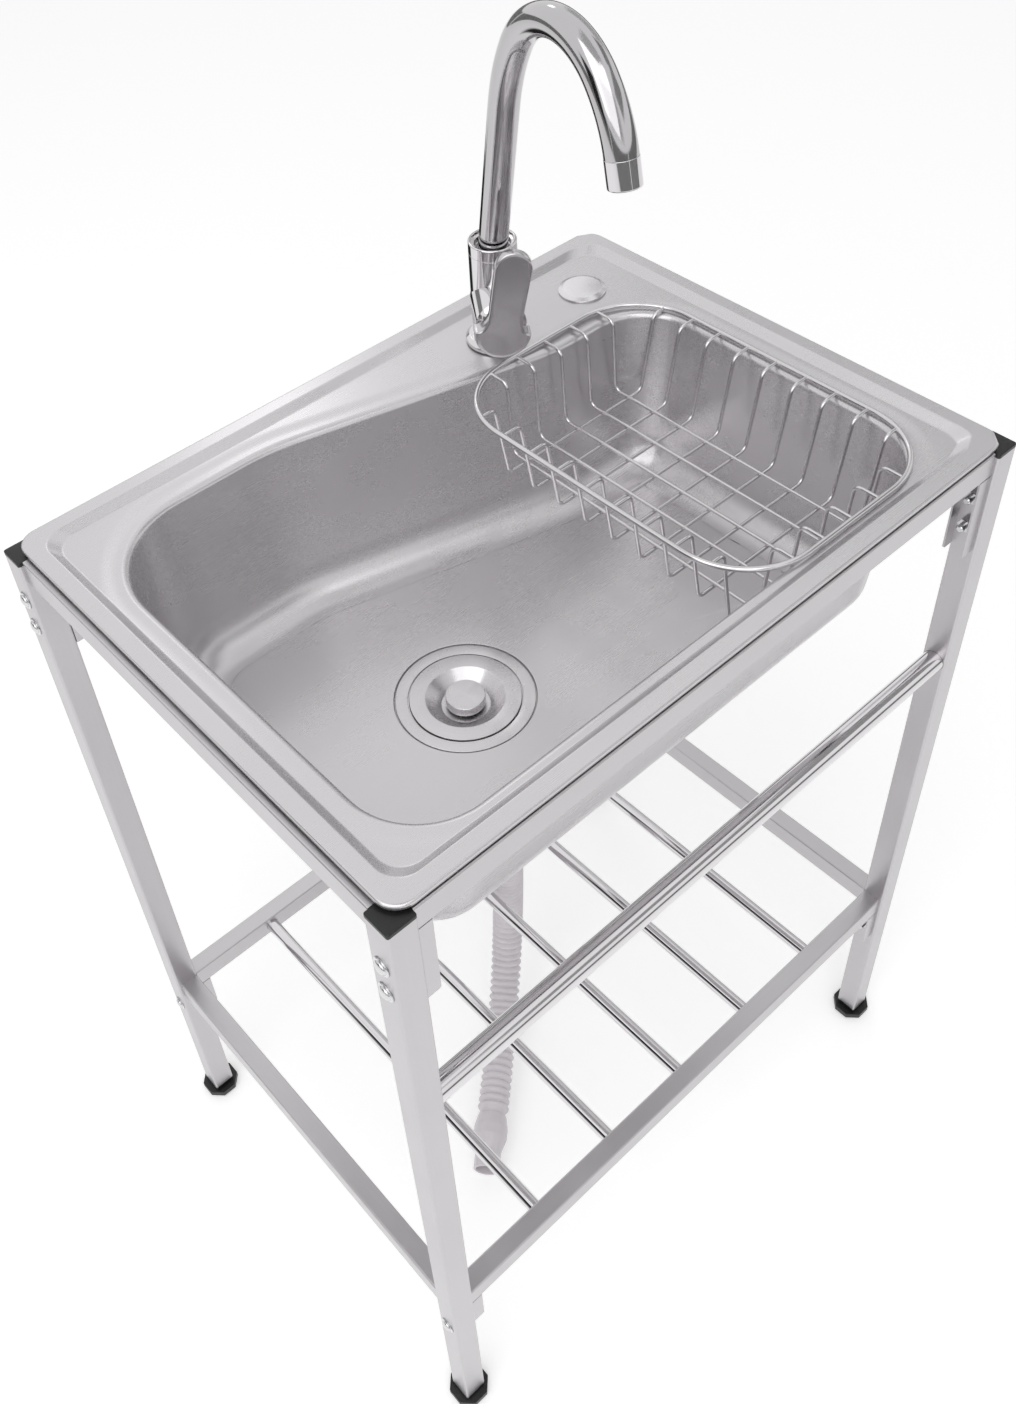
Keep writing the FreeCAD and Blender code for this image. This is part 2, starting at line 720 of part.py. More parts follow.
def strainer_knob():
    z = SEAT + FLANGE_H + DRAIN_PLAY - STRAINER_DISH_DROP + STRAINER_SHEET
    top = z + KNOB_STEM_H + KNOB_H
    points = [
        (0, z),
        (KNOB_STEM_R, z),
        (KNOB_STEM_R, z + KNOB_STEM_H),
        (KNOB_R - 1, z + KNOB_STEM_H),
        (KNOB_R, z + KNOB_STEM_H + 1),
        (KNOB_R, top - 2),
        (KNOB_R - 2, top),
        (0, top),
    ]
    return turned(points, DRAIN_X, DRAIN_Y)


def hose_corners():
    top = SEAT - CUP_DEPTH - CUP_WALL - 2 - HOSE_NUT_H
    rods = shelf_rod_places()
    gap = SHELF_ROD_COUNT // 2
    middle = (rods[gap] + rods[gap + 1]) / 2
    first = [Vector(DRAIN_X, DRAIN_Y, top), Vector(DRAIN_X, DRAIN_Y, top - HOSE_DROP)]
    return first + [Vector(middle + x, y, z) for x, y, z in HOSE_ROUTE]


def hose_segments():
    # Runs and arcs of the route, each arc as large as its two runs allow
    points = hose_corners()
    segments = []
    radii = []
    last = points[0]
    for i in range(1, len(points) - 1):
        a, b = points[i] - points[i - 1], points[i + 1] - points[i]
        half = a.getAngle(b) / 2
        r = 0.45 * min(a.Length, b.Length) / math.tan(half)
        radii.append(r)
        a, b = a.normalize(), b.normalize()
        reach = r * math.tan(half)
        start = points[i] - a * reach
        inward = (b - a).normalize()
        centre = points[i] + inward * (r / math.cos(half))
        segments.append((last, a, (start - last).Length, None, 0.0))
        segments.append((start, a, 2 * half * r, centre, r))
        last = points[i] + b * reach
    end = points[-1] - last
    segments.append((last, Vector(end).normalize(), end.Length, None, 0.0))
    return segments, radii


def along_hose(segments, s):
    # Point and heading at a length along the route
    for start, way, length, centre, r in segments:
        if s <= length or (start, way) == segments[-1][:2]:
            if centre is None:
                return start + way * s, Vector(way)
            arm = start - centre
            turn = s / r
            point = centre + arm * math.cos(turn) + way * (r * math.sin(turn))
            return point, way * math.cos(turn) - arm * (math.sin(turn) / r)
        s -= length


def hose_circle(s, r):
    # Circle square to the route, its start kept on one side
    point, way = along_hose(hose_segments()[0], s)
    circle = Part.Circle(point, way, r)
    side = Vector(0, 1, 0)
    circle.XAxis = (side - way * side.dot(way)).normalize()
    return Part.Wire(circle.toShape())


def hose_skin(stations):
    # Side faces of ruled lofts, four rings at a time
    faces = []
    for k in range(0, len(stations) - 1, 4):
        wires = [hose_circle(s, r) for s, r in stations[k:k + 5]]
        faces += Part.makeLoft(wires, False, True).Faces
    return faces


def drain_hose():
    # Corrugated tube: crest and valley rings along the route, plain at both ends
    segments, radii = hose_segments()
    length = sum(seg[2] for seg in segments)
    ribs = int((length - 2 * HOSE_PLAIN) / HOSE_PITCH)
    pitch = (length - 2 * HOSE_PLAIN) / ribs
    valley = HOSE_R - HOSE_VALLEY
    outside = [(0.0, valley)]
    inside = [(0.0, HOSE_BORE_R)]
    for k in range(ribs):
        s = HOSE_PLAIN + k * pitch
        outside += [(s, valley), (s + 0.25 * pitch, HOSE_R), (s + 0.6 * pitch, HOSE_R), (s + 0.85 * pitch, valley)]
        if k % 3 == 0:
            inside.append((s, HOSE_BORE_R))
    outside.append((length, valley))
    inside.append((length, HOSE_BORE_R))
    print("hose length", round(length, 1), "ribs", ribs, "radii", [round(r, 1) for r in radii])
    faces = hose_skin(outside) + hose_skin(inside)
    for s in (0.0, length):
        wires = [hose_circle(s, valley), hose_circle(s, HOSE_BORE_R)]
        faces.append(Part.makeFace(wires, "Part::FaceMakerBullseye"))
    shell = Part.makeShell(faces)
    shell.sewShape()
    tube = Part.makeSolid(shell)
    if tube.Volume < 0:
        tube.reverse()
    return tube


def hose_cuff():
    # Swollen end sleeve with a narrower spigot, in line with the last run
    before, end = hose_corners()[-2:]
    way = (end - before).normalize()
    steps = [
        (0.0, HOSE_R + 0.6),
        (HOSE_CUFF_LENGTH * 0.35, HOSE_CUFF_R),
        (HOSE_CUFF_LENGTH * 0.6, HOSE_CUFF_R),
        (HOSE_CUFF_LENGTH, HOSE_SPIGOT_R),
        (HOSE_CUFF_LENGTH + HOSE_SPIGOT_LENGTH, HOSE_SPIGOT_R),
    ]
    wires = [Part.Wire(Part.Circle(end + way * s, way, r).toShape()) for s, r in steps]
    solid = Part.makeLoft(wires, True, True)
    far = end + way * (HOSE_CUFF_LENGTH + HOSE_SPIGOT_LENGTH + 1)
    return solid.cut(rod(HOSE_BORE_R, end - way, far))


def hole_cover():
    # Shallow chrome dome with a stem through the spare tap hole
    r = COVER_R
    low = DECK - SHEET - COVER_STEM_LENGTH
    points = [
        (0, low),
        (COVER_STEM_R, low),
        (COVER_STEM_R, DECK),
        (r, DECK),
        (r, DECK + COVER_EDGE),
        dome(r, DECK + COVER_EDGE, DECK + COVER_H),
    ]
    return turned(points, COVER_X, TAP_Y)


def hole_cover_nut():
    top = DECK - SHEET
    plate = ring(COVER_NUT_R, COVER_STEM_R + 0.3, COVER_X, TAP_Y, top - COVER_NUT_H / 2, top)
    hub = polygon_prism(COVER_STEM_R * 2, 6, COVER_X, TAP_Y, top - COVER_NUT_H - 4, top - COVER_NUT_H / 2)
    hub = hub.cut(column(COVER_STEM_R + 0.3, COVER_X, TAP_Y, top - 30, top))
    return plate.fuse(hub)


def tap_levels():
    foot_low = DECK + TAP_GASKET_H
    body_low = foot_low + TAP_FOOT_H
    return foot_low, body_low, body_low + TAP_BODY_H


def lever_frame():
    # Local axes at the lever stub: x sideways, y up, z outwards
    a = math.radians(STUB_ANGLE)
    side = Vector(math.cos(a), -math.sin(a), 0)
    out = Vector(-math.sin(a), -math.cos(a), 0)
    origin = Vector(TAP_X, TAP_Y, tap_levels()[1] + STUB_HEIGHT)
    m = FreeCAD.Matrix(
        side.x, 0, out.x, origin.x,
        side.y, 0, out.y, origin.y,
        0, 1, 0, origin.z,
        0, 0, 0, 1,
    )
    return FreeCAD.Placement(m)


def placed(shape, placement):
    shape.Placement = placement.multiply(shape.Placement)
    return shape


def tap_body():
    # Turned body with the lever stub, whose end is part of a ball
    low, top = tap_levels()[1:]
    r = TAP_BODY_R
    points = [
        (TAP_WATERWAY_R, low),
        (r, low),
        (r, top - 2),
        (r - 2, top),
        (TAP_BORE_R, top),
        (TAP_BORE_R, top - TAP_BORE_DEPTH),
        (TAP_WATERWAY_R, top - TAP_BORE_DEPTH),
    ]
    body = turned(points, TAP_X, TAP_Y)
    ball = PIVOT_BALL_R
    shoulder = PIVOT_REACH + math.sqrt(ball * ball - STUB_R * STUB_R)
    mid = math.asin(STUB_R / ball) / 2
    stub = turned([
        (0, 0),
        (STUB_R, 0),
        (STUB_R, shoulder),
        (ball * math.sin(mid), PIVOT_REACH + ball * math.cos(mid), 0, PIVOT_REACH + ball),
    ], 0, 0)
    stub = placed(stub, lever_frame())
    way = column(TAP_BORE_R, TAP_X, TAP_Y, top - TAP_BORE_DEPTH, top + 1)
    bore = column(TAP_WATERWAY_R, TAP_X, TAP_Y, low - 1, top)
    socket = rod(STEM_R + SWIVEL_PLAY, Vector(0, 0, PIVOT_REACH + ball - STEM_LENGTH - 2), Vector(0, 0, 3 * ball))
    socket = placed(socket, lever_frame())
    return body.fuse(stub).cut(way).cut(bore).cut(socket)


def tap_stem():
    # Valve spindle in the stub, rounded at its end like the stub
    ball = PIVOT_BALL_R
    top = PIVOT_REACH + ball
    stem = rod(STEM_R, Vector(0, 0, top - STEM_LENGTH), Vector(0, 0, top))
    stem = stem.common(Part.makeSphere(ball, Vector(0, 0, PIVOT_REACH)))
    return placed(stem, lever_frame())


def lever_profile(z):
    # Spade outline: half-round hub, hollow shoulders drawn in to the waist, wider rounded tip
    w, t, hub, top = LEVER_WAIST / 2, LEVER_TOP_W / 2, LEVER_HUB_R, LEVER_LENGTH
    shoulder = LEVER_SHOULDER
    half = math.sqrt(0.5)
    hollow_x = hub - (hub - w) * half
    hollow_y = shoulder * (1 - half)
    a = Vector(-hub, 0, z)
    b = Vector(hub, 0, z)
    c = Vector(w, shoulder, z)
    d = Vector(-w, shoulder, z)
    e = Vector(t, top - t, z)
    f = Vector(-t, top - t, z)
    edges = [
        Part.Arc(a, Vector(0, -hub, z), b).toShape(),
        Part.Arc(b, Vector(hollow_x, hollow_y, z), c).toShape(),
        Part.makeLine(c, e),
        Part.Arc(e, Vector(0, top, z), f).toShape(),
        Part.makeLine(f, d),
        Part.Arc(d, Vector(-hollow_x, hollow_y, z), a).toShape(),
    ]
    return Part.Face(Part.Wire(edges))


def tap_lever():
    # Flat spade in front of the ball seat, with a round skirt behind its hub
    inner = PIVOT_BALL_R + LEVER_GAP
    low = PIVOT_REACH + inner - LEVER_SEAT
    top = PIVOT_REACH + inner + LEVER_THICK
    centre = Vector(0, 0, PIVOT_REACH)
    paddle = lever_profile(low).extrude(Vector(0, 0, top - low))
    front = [e for e in paddle.Edges if abs(e.BoundBox.ZMin - top) < 1e-4 and abs(e.BoundBox.ZMax - top) < 1e-4]
    paddle = paddle.makeFillet(LEVER_EDGE, front)
    skirt = rod(LEVER_HUB_R, centre, Vector(0, 0, low))
    lever = paddle.fuse(skirt).cut(Part.makeSphere(inner, centre))
    lever.rotate(centre, Vector(0, 0, 1), -LEVER_TURN)
    return placed(lever, lever_frame())


def spout_path():
    # Straight in the body, a long lean forwards, then the crook down to the outlet
    top = tap_levels()[2]
    turn = math.radians(SPOUT_TURN)
    fore = Vector(-math.sin(turn), -math.cos(turn), 0)
    start = Vector(TAP_X, TAP_Y, top - TAP_BORE_DEPTH + SWIVEL_PLAY)
    foot = Vector(TAP_X, TAP_Y, top + SPOUT_RISE)
    edges = [Part.makeLine(start, foot)]
    at, heading = foot, 0.0
    for radius, angle in ((SPOUT_LEAN_R, SPOUT_LEAN), (SPOUT_CROOK_R, SPOUT_CROOK)):
        centre = at + fore * (radius * math.cos(heading)) - UP * (radius * math.sin(heading))
        points = []
        for share in (0.5, 1.0):
            h = heading + math.radians(angle) * share
            points.append(centre - fore * (radius * math.cos(h)) + UP * (radius * math.sin(h)))
        edges.append(Part.Arc(at, points[0], points[1]).toShape())
        heading += math.radians(angle)
        at = points[1]
    way = fore * math.sin(heading) + UP * math.cos(heading)
    return Part.Wire(edges), start, at, way


def tap_spout():
    path, start, end, way = spout_path()
    return sweep(path, SPOUT_R, start, UP).cut(sweep(path, SPOUT_R - SPOUT_WALL, start, UP))


def spout_aerator():
    path, start, end, way = spout_path()
    tip = end + way * AERATOR_LENGTH
    shell = rod(AERATOR_R, end, tip).cut(rod(SPOUT_R - SPOUT_WALL, end - way, tip + way))
    screen = rod(SPOUT_R - SPOUT_WALL, tip - way * 6, tip - way * 4)
    return shell.fuse(screen)


def tap_inlets():
    # Two threaded inlets, hot and cold, side by side in the shank
    top = DECK - SHEET - SHANK_LENGTH + 10
    solids = []
    for s in (-1, 1):
        x = TAP_X + s * INLET_SPREAD
        solids.append(ring(INLET_R, INLET_BORE_R, x, TAP_Y, top - INLET_LENGTH, top))
    return group(solids)


def tap_shank():
    low = DECK - SHEET - SHANK_LENGTH
    top = tap_levels()[1]
    tube = ring(SHANK_R, SHANK_R - SHANK_WALL, TAP_X, TAP_Y, low, top)
    plate = column(SHANK_R, TAP_X, TAP_Y, low + 8, low + 12)
    for s in (-1, 1):
        plate = plate.cut(column(INLET_R, TAP_X + s * INLET_SPREAD, TAP_Y, low, low + 20))
    return tube.fuse(plate)


def rim_level():
    return DECK + BASKET_SEAT + BASKET_RIM_R


def basket_rim():
    x, y = BASKET_W / 2 - BASKET_RIM_R, BASKET_L / 2 - BASKET_RIM_R
    corners = [(BASKET_X - x, BASKET_Y - y), (BASKET_X + x, BASKET_Y - y),
               (BASKET_X + x, BASKET_Y + y), (BASKET_X - x, BASKET_Y + y)]
    path = rounded_outline(corners, [BASKET_CORNER] * 4, 0, rim_level())
    start = path.Edges[1]
    first = start.Vertexes[0].Point
    section = wire_section(first, start.Vertexes[1].Point - first, BASKET_RIM_R)
    ordered = Part.Wire(path.Edges[1:] + path.Edges[:1])
    return ordered.makePipeShell([section], True, False)


def rim_reach(half, other_half, place):
    # Distance from the middle to the inner side of the rim, at a place across the basket
    past = abs(place) - (other_half - BASKET_RIM_R - BASKET_CORNER)
    reach = half - 2 * BASKET_RIM_R
    if past > 0:
        inner = BASKET_CORNER - BASKET_RIM_R
        reach -= inner - math.sqrt(inner * inner - past * past)
    return reach


def basket_wires(along_x):
    # Wires that leave the rim level, run down the walls and cross the floor
    if along_x:
        count, end, ledge, slope = BASKET_CROSS_COUNT, BASKET_CROSS_END, BASKET_LEDGE_W, BASKET_SLOPE_W
        half, other = BASKET_W / 2, BASKET_L / 2
    else:
        count, end, ledge, slope = BASKET_LONG_COUNT, BASKET_LONG_END, BASKET_LEDGE_L, BASKET_SLOPE_L
        half, other = BASKET_L / 2, BASKET_W / 2
    step = 2 * (other - end) / (count - 1)
    run = half - ledge
    floor = run - slope
    top = rim_level()
    low = top - BASKET_DEPTH + (0 if along_x else 2 * BASKET_WIRE_R)
    solids = []
    for k in range(count):
        place = (k - (count - 1) / 2) * step
        reach = rim_reach(half, other, place)
        trace = [(-reach, top), (-run, top), (-floor, low), (floor, low), (run, top), (reach, top)]
        points = []
        for u, z in trace:
            x, y = (u, place) if along_x else (place, u)
            points.append(Vector(BASKET_X + x, BASKET_Y + y, z))
        solids.append(wire_run(points, BASKET_BEND, BASKET_WIRE_R))
    return group(solids)


def all_parts():
    parts = {}
    names = {(-1, -1): "front_left", (1, -1): "front_right", (-1, 1): "back_left", (1, 1): "back_right"}
    for (sx, sy), name in names.items():
        parts["leg_" + name] = leg(sx, sy)
        parts["foot_" + name] = foot(sx, sy)
    parts["leg_caps"] = group(mirror_four(leg_cap))
    parts["foot_inserts"] = group(mirror_four(foot_insert))
    for level, top in (("top", RAIL_TOP), ("shelf", SHELF_TOP)):
        parts[level + "_rail_front"] = rail_x(-1, top, level == "shelf")
        parts[level + "_rail_back"] = rail_x(1, top, level == "shelf")
        parts[level + "_rail_left"] = rail_y(-1, top)
        parts[level + "_rail_right"] = rail_y(1, top)
    for level, top, drop, heights in (
        ("top", RAIL_TOP, TOP_BRACKET_DROP, top_bolt_heights()),
        ("shelf", SHELF_TOP, SHELF_BRACKET_DROP, shelf_bolt_heights()),
    ):
        parts[level + "_brackets"] = group(mirror_four(lambda sx, sy: bracket(sx, sy, top, drop, heights)))
        bolts, nuts = [], []
        for z in heights:
            bolts += mirror_four(lambda sx, sy: bolt(sx, sy, z))
            nuts += mirror_four(lambda sx, sy: nut(sx, sy, z))
        parts[level + "_bolts"] = group(bolts)
        parts[level + "_nuts"] = group(nuts)
    parts["shelf_rods"] = group([shelf_rod(x) for x in shelf_rod_places()])
    parts["towel_rail"] = towel_rail()

    parts["sink_bowl"] = sink_bowl()
    parts["hole_cover"] = hole_cover()
    parts["hole_cover_nut"] = hole_cover_nut()
    parts["strainer_body"] = strainer_body()
    under = SEAT - SHEET
    parts["strainer_gasket"] = ring(GASKET_R, CUP_R + DRAIN_PLAY, DRAIN_X, DRAIN_Y, under - GASKET_H, under)
    parts["strainer_locknut"] = strainer_locknut()
    parts["strainer_basket"] = strainer_basket()
    parts["strainer_knob"] = strainer_knob()
    parts["hose_nut"] = hose_nut()
    parts["drain_hose"] = drain_hose()
    parts["hose_cuff"] = hose_cuff()

    foot_low, body_low, body_top = tap_levels()
    parts["tap_gasket"] = ring(TAP_FOOT_R - 1, SHANK_R + 0.3, TAP_X, TAP_Y, DECK, foot_low)
    parts["tap_foot_ring"] = turned([
        (SHANK_R + 0.3, foot_low),
        (TAP_FOOT_R, foot_low),
        (TAP_FOOT_R, foot_low + TAP_FOOT_H * 0.5),
        (TAP_BODY_R + 1.5, body_low),
        (SHANK_R + 0.3, body_low),
    ], TAP_X, TAP_Y)
    parts["tap_body"] = tap_body()
    parts["tap_collar"] = ring(TAP_BODY_R, SPOUT_R + SWIVEL_PLAY, TAP_X, TAP_Y, body_top, body_top + COLLAR_H)
    bush_low = body_top - TAP_BORE_DEPTH
    parts["spout_bush"] = ring(TAP_BORE_R, SPOUT_R + SWIVEL_PLAY, TAP_X, TAP_Y, bush_low, body_top)
    parts["tap_spout"] = tap_spout()
    parts["spout_aerator"] = spout_aerator()
    parts["tap_stem"] = tap_stem()
    parts["tap_lever"] = tap_lever()
    parts["tap_shank"] = tap_shank()
    parts["tap_inlets"] = tap_inlets()
    deck_under = DECK - SHEET
    parts["tap_washer"] = ring(TAP_WASHER_R, SHANK_R + 0.3, TAP_X, TAP_Y, deck_under - TAP_WASHER_H, deck_under)
    nut_top = deck_under - TAP_WASHER_H
    tap_nut = polygon_prism(TAP_NUT_R, 6, TAP_X, TAP_Y, nut_top - TAP_NUT_H, nut_top)
    parts["tap_nut"] = tap_nut.cut(column(SHANK_R + 0.3, TAP_X, TAP_Y, nut_top - 50, nut_top + 1))

    parts["basket_rim"] = basket_rim()
    parts["basket_cross_wires"] = basket_wires(True)
    parts["basket_long_wires"] = basket_wires(False)
    return parts


os.makedirs("parts", exist_ok=True)
for node, shape in all_parts().items():
    shape.exportStep(os.path.join("parts", node + ".step"))
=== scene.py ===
import json
import math

import bmesh
import bpy
import numpy as np
from bpy.props import FloatProperty, FloatVectorProperty, IntProperty, PointerProperty
from mathutils import Matrix


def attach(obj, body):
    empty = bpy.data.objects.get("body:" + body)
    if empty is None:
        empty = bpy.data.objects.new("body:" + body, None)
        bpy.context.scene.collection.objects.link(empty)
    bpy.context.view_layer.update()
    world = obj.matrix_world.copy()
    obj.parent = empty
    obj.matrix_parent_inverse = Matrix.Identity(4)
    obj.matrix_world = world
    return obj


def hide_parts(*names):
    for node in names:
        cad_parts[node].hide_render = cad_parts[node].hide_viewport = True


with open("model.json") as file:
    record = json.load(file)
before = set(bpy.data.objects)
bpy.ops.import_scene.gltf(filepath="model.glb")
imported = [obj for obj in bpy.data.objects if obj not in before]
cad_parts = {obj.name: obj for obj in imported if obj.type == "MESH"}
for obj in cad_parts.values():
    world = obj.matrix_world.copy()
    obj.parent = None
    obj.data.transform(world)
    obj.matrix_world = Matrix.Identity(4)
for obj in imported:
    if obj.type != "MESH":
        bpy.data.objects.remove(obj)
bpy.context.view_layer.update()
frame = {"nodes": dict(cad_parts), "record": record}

bl_info = {
    "name": "Freestanding sink",
    "version": (1, 0, 0),
    "blender": (4, 5, 0),
    "location": "3D view > Sidebar > Sink",
    "description": "Builds the smooth pieces, finishes and stage of a freestanding steel sink",
    "category": "Object",
}

MM = 0.001
UP = np.array([0, 0, 1.0])

# Heights, places and sizes that the solids have, in millimetres and degrees
LEG_X, LEG_Y, LEG_TOP = 289.0, 208.0, 808.0
RAIL_TOP, RIM_TOP, DECK, FLOOR, SEAT = 811.3, 818.3, 813.3, 665.3, 662.7
SHEET = 0.9
SHELF_TOP, ROD_LEVEL, ROD_RADIUS = 229.0, 218.0, 6.5
TOWEL_LEVEL, TOWEL_RADIUS = 584.0, 9.5
DRAIN = np.array([-75.0, -18.0])
COVER = np.array([223.0, 154.0])
TAP = np.array([124.0, 154.0])
FOOT_LOW, BODY_LOW, BODY_TOP = 814.5, 820.5, 896.5
STUB_ANGLE, STUB_HEIGHT, STUB_RADIUS = 36.0, 36.0, 20.0
PIVOT_REACH, PIVOT_BALL = 22.0, 30.0
BASKET = np.array([145.0, -34.0])
BASKET_HALF = np.array([110.0, 157.5])
BASKET_LEVEL, BASKET_DEPTH, BASKET_CORNER, BASKET_BEND = 815.85, 71.0, 62.0, 7.0
RIM_WIRE, BASKET_WIRE = 2.25, 1.5

# Form of the tap as it is seen, in millimetres
BODY_RADIUS, SPOUT_RADIUS, OUTLET_BORE = 19.4, 11.7, 9.7

# Route of the waste hose from the drain to its end sleeve, the same points as the solid's
HOSE_ROUTE = [
    (-75.0, -18.0, 603.5),
    (-75.0, -18.0, 480.0),
    (30.033, 68.0, 300.0),
    (46.033, 92.0, 112.0),
    (-17.967, 36.0, 26.0),
    (-100.967, -36.0, 20.0),
]

# Camera: picture, focal length and view's middle in pixels, degrees, place in metres, sensor in millimetres
PICTURE_WIDTH, PICTURE_HEIGHT = 1016, 1404
FOCAL_LENGTH = 1416.5
VIEW_MIDDLE = (458.42, 575.83)
CAMERA_TURN, CAMERA_TILT, CAMERA_ROLL = -38.13, 43.917, -4.746
CAMERA_PLACE = (-0.5171, -0.5849, 1.4861)
SENSOR = 36.0

# Light of the surroundings on matt faces, glow of the floor as it is seen, and the point that lamps face
SKY_LIGHT, FLOOR_GLOW = 0.62, 0.30
LAMP_AIM = (0, 0, 0.6)


# Sizes and colours

class SinkSizes(bpy.types.PropertyGroup):
    """Sizes of the visible detail that a user may change."""
    rim_fold: FloatProperty(
        name="Rim fold", description="Radius of the fold along the outer rim",
        default=1.7 * MM, unit="LENGTH")
    step_round: FloatProperty(
        name="Step rounding", description="Radius at the top and foot of the step inside the rim",
        default=2.4 * MM, unit="LENGTH")
    rim_gap: FloatProperty(
        name="Gap under the rim", description="Dark gap between the rim's edge and the rails under it",
        default=3.2 * MM, unit="LENGTH")
    ledge_out: FloatProperty(
        name="Ledge width", description="Distance from the bowl's edge to the start of the ledge round it",
        default=22.0 * MM, unit="LENGTH")
    ledge_drop: FloatProperty(
        name="Ledge drop", description="How far the ledge lies below the deck",
        default=0.8 * MM, unit="LENGTH")
    lip_round: FloatProperty(
        name="Bowl lip", description="Radius where the deck turns down into the bowl",
        default=6.0 * MM, unit="LENGTH")
    floor_round: FloatProperty(
        name="Bowl floor rounding", description="Radius between wall and floor of the bowl",
        default=34.0 * MM, unit="LENGTH")
    hose_crest: FloatProperty(
        name="Hose radius", description="Outer radius of the hose's ribs",
        default=16.8 * MM, unit="LENGTH")
    hose_rib: FloatProperty(
        name="Rib depth", description="Height of a rib above the valley beside it",
        default=3.0 * MM, unit="LENGTH")
    hose_pitch: FloatProperty(
        name="Rib pitch", description="Distance from rib to rib along the hose",
        default=8.0 * MM, unit="LENGTH")
    wire_sides: IntProperty(
        name="Wire sides", description="Points round a basket wire", default=12, min=6)


class SinkColours(bpy.types.PropertyGroup):
    """Colours of the finishes, as linear values."""
    satin_steel: FloatVectorProperty(
        name="Satin steel", description="Tube of the stand", subtype="COLOR",
        default=(0.56, 0.545, 0.56), min=0, max=1)
    sink_steel: FloatVectorProperty(
        name="Sink steel", description="Pressed sheet of the sink", subtype="COLOR",
        default=(0.63, 0.615, 0.63), min=0, max=1)
    chrome: FloatVectorProperty(
        name="Chrome", description="Tap, rods, rail and hole cover", subtype="COLOR",
        default=(0.70, 0.685, 0.70), min=0, max=1)
    black_plastic: FloatVectorProperty(
        name="Black plastic", description="Leg caps and feet", subtype="COLOR",
        default=(0.008, 0.008, 0.0085), min=0, max=1)
    hose_plastic: FloatVectorProperty(
        name="Hose plastic", description="Corrugated waste hose and its sleeve", subtype="COLOR",
        default=(0.74, 0.705, 0.735), min=0, max=1)


# Arrays

def grid_faces(rows, cols, wrap_rows=False):
    """Quads of a grid of points, rows by columns; columns close on themselves, and rows may."""
    i, j = np.meshgrid(np.arange(rows if wrap_rows else rows - 1), np.arange(cols), indexing="ij")
    i2, j2 = (i + 1) % rows, (j + 1) % cols
    return np.stack([i * cols + j, i * cols + j2, i2 * cols + j2, i2 * cols + j], axis=-1).reshape(-1, 4)


def joined(parts):
    """Several (points, faces) sets as one, the face numbers moved up past the points before them."""
    sizes = np.cumsum([0] + [len(p) for p, f in parts])
    points = np.concatenate([p for p, f in parts])
    faces = np.concatenate([f + n for (p, f), n in zip(parts, sizes)])
    return points, faces


def unit(v):
    """Rows of v at length one."""
    v = np.asarray(v, dtype=float)
    return v / np.linalg.norm(v, axis=-1, keepdims=True)


def smooth_step(x):
    """0 below 0, 1 above 1, and 3 x^2 - 2 x^3 between."""
    t = np.clip(x, 0, 1)
    return t * t * (3 - 2 * t)


def length_along(line):
    """Length from the start of a line to each of its points."""
    return np.concatenate([[0], np.cumsum(np.linalg.norm(np.diff(line, axis=0), axis=1))])


def rounded(points, radii, steps, hold=0.5):
    """Open line of corner points in a plane, each inner corner replaced by a tangent arc of its radius.

    At a corner with unit ways a and b and the angle h from one to the other, the arc starts r tan(h / 2)
    before the corner, and its points are centre - r cos t n + r sin t a, n being the normal to a that points
    to the centre. Hold adds a point just before the arc and one just past it."""
    pts = np.asarray(points, dtype=float)
    out = [pts[0]]
    for before, at, after, r in zip(pts, pts[1:], pts[2:], radii):
        a, b = unit(at - before), unit(after - at)
        turn = math.atan2(a[0] * b[1] - a[1] * b[0], a @ b)
        if r <= 0 or abs(turn) < 1e-6:
            out.append(at)
            continue
        reach = r * math.tan(abs(turn) / 2)
        side = math.copysign(1.0, turn)
        normal = side * np.array([-a[1], a[0]])
        centre = at - a * reach + normal * r
        t = np.linspace(0, abs(turn), steps + 1)[:, None]
        arc = centre - normal * r * np.cos(t) + a * r * np.sin(t)
        if hold:
            out.append(at - a * (reach + hold))
        out.extend(arc)
        if hold:
            out.append(at + b * (reach + hold))
    out.append(pts[-1])
    return np.array(out)


def lathe(profile, centre, axis=(0, 0, 1), turns=96):
    """Turned piece: point (r, h) of the profile goes to centre + h axis + r (cos a u + sin a v).

    The profile runs from low on the axis, out and up, back to the axis, so faces point outwards."""
    p = np.asarray(profile, dtype=float)
    w = unit(axis)
    u = unit(np.cross(w, (0, 1, 0) if abs(w[1]) < 0.9 else (1, 0, 0)))
    v = np.cross(w, u)
    a = np.linspace(0, 2 * np.pi, turns, endpoint=False)
    ring = np.cos(a)[:, None] * u + np.sin(a)[:, None] * v
    points = np.asarray(centre) + p[:, None, 1:2] * w + p[:, None, 0:1] * ring[None]
    return points.reshape(-1, 3), grid_faces(len(p), turns)


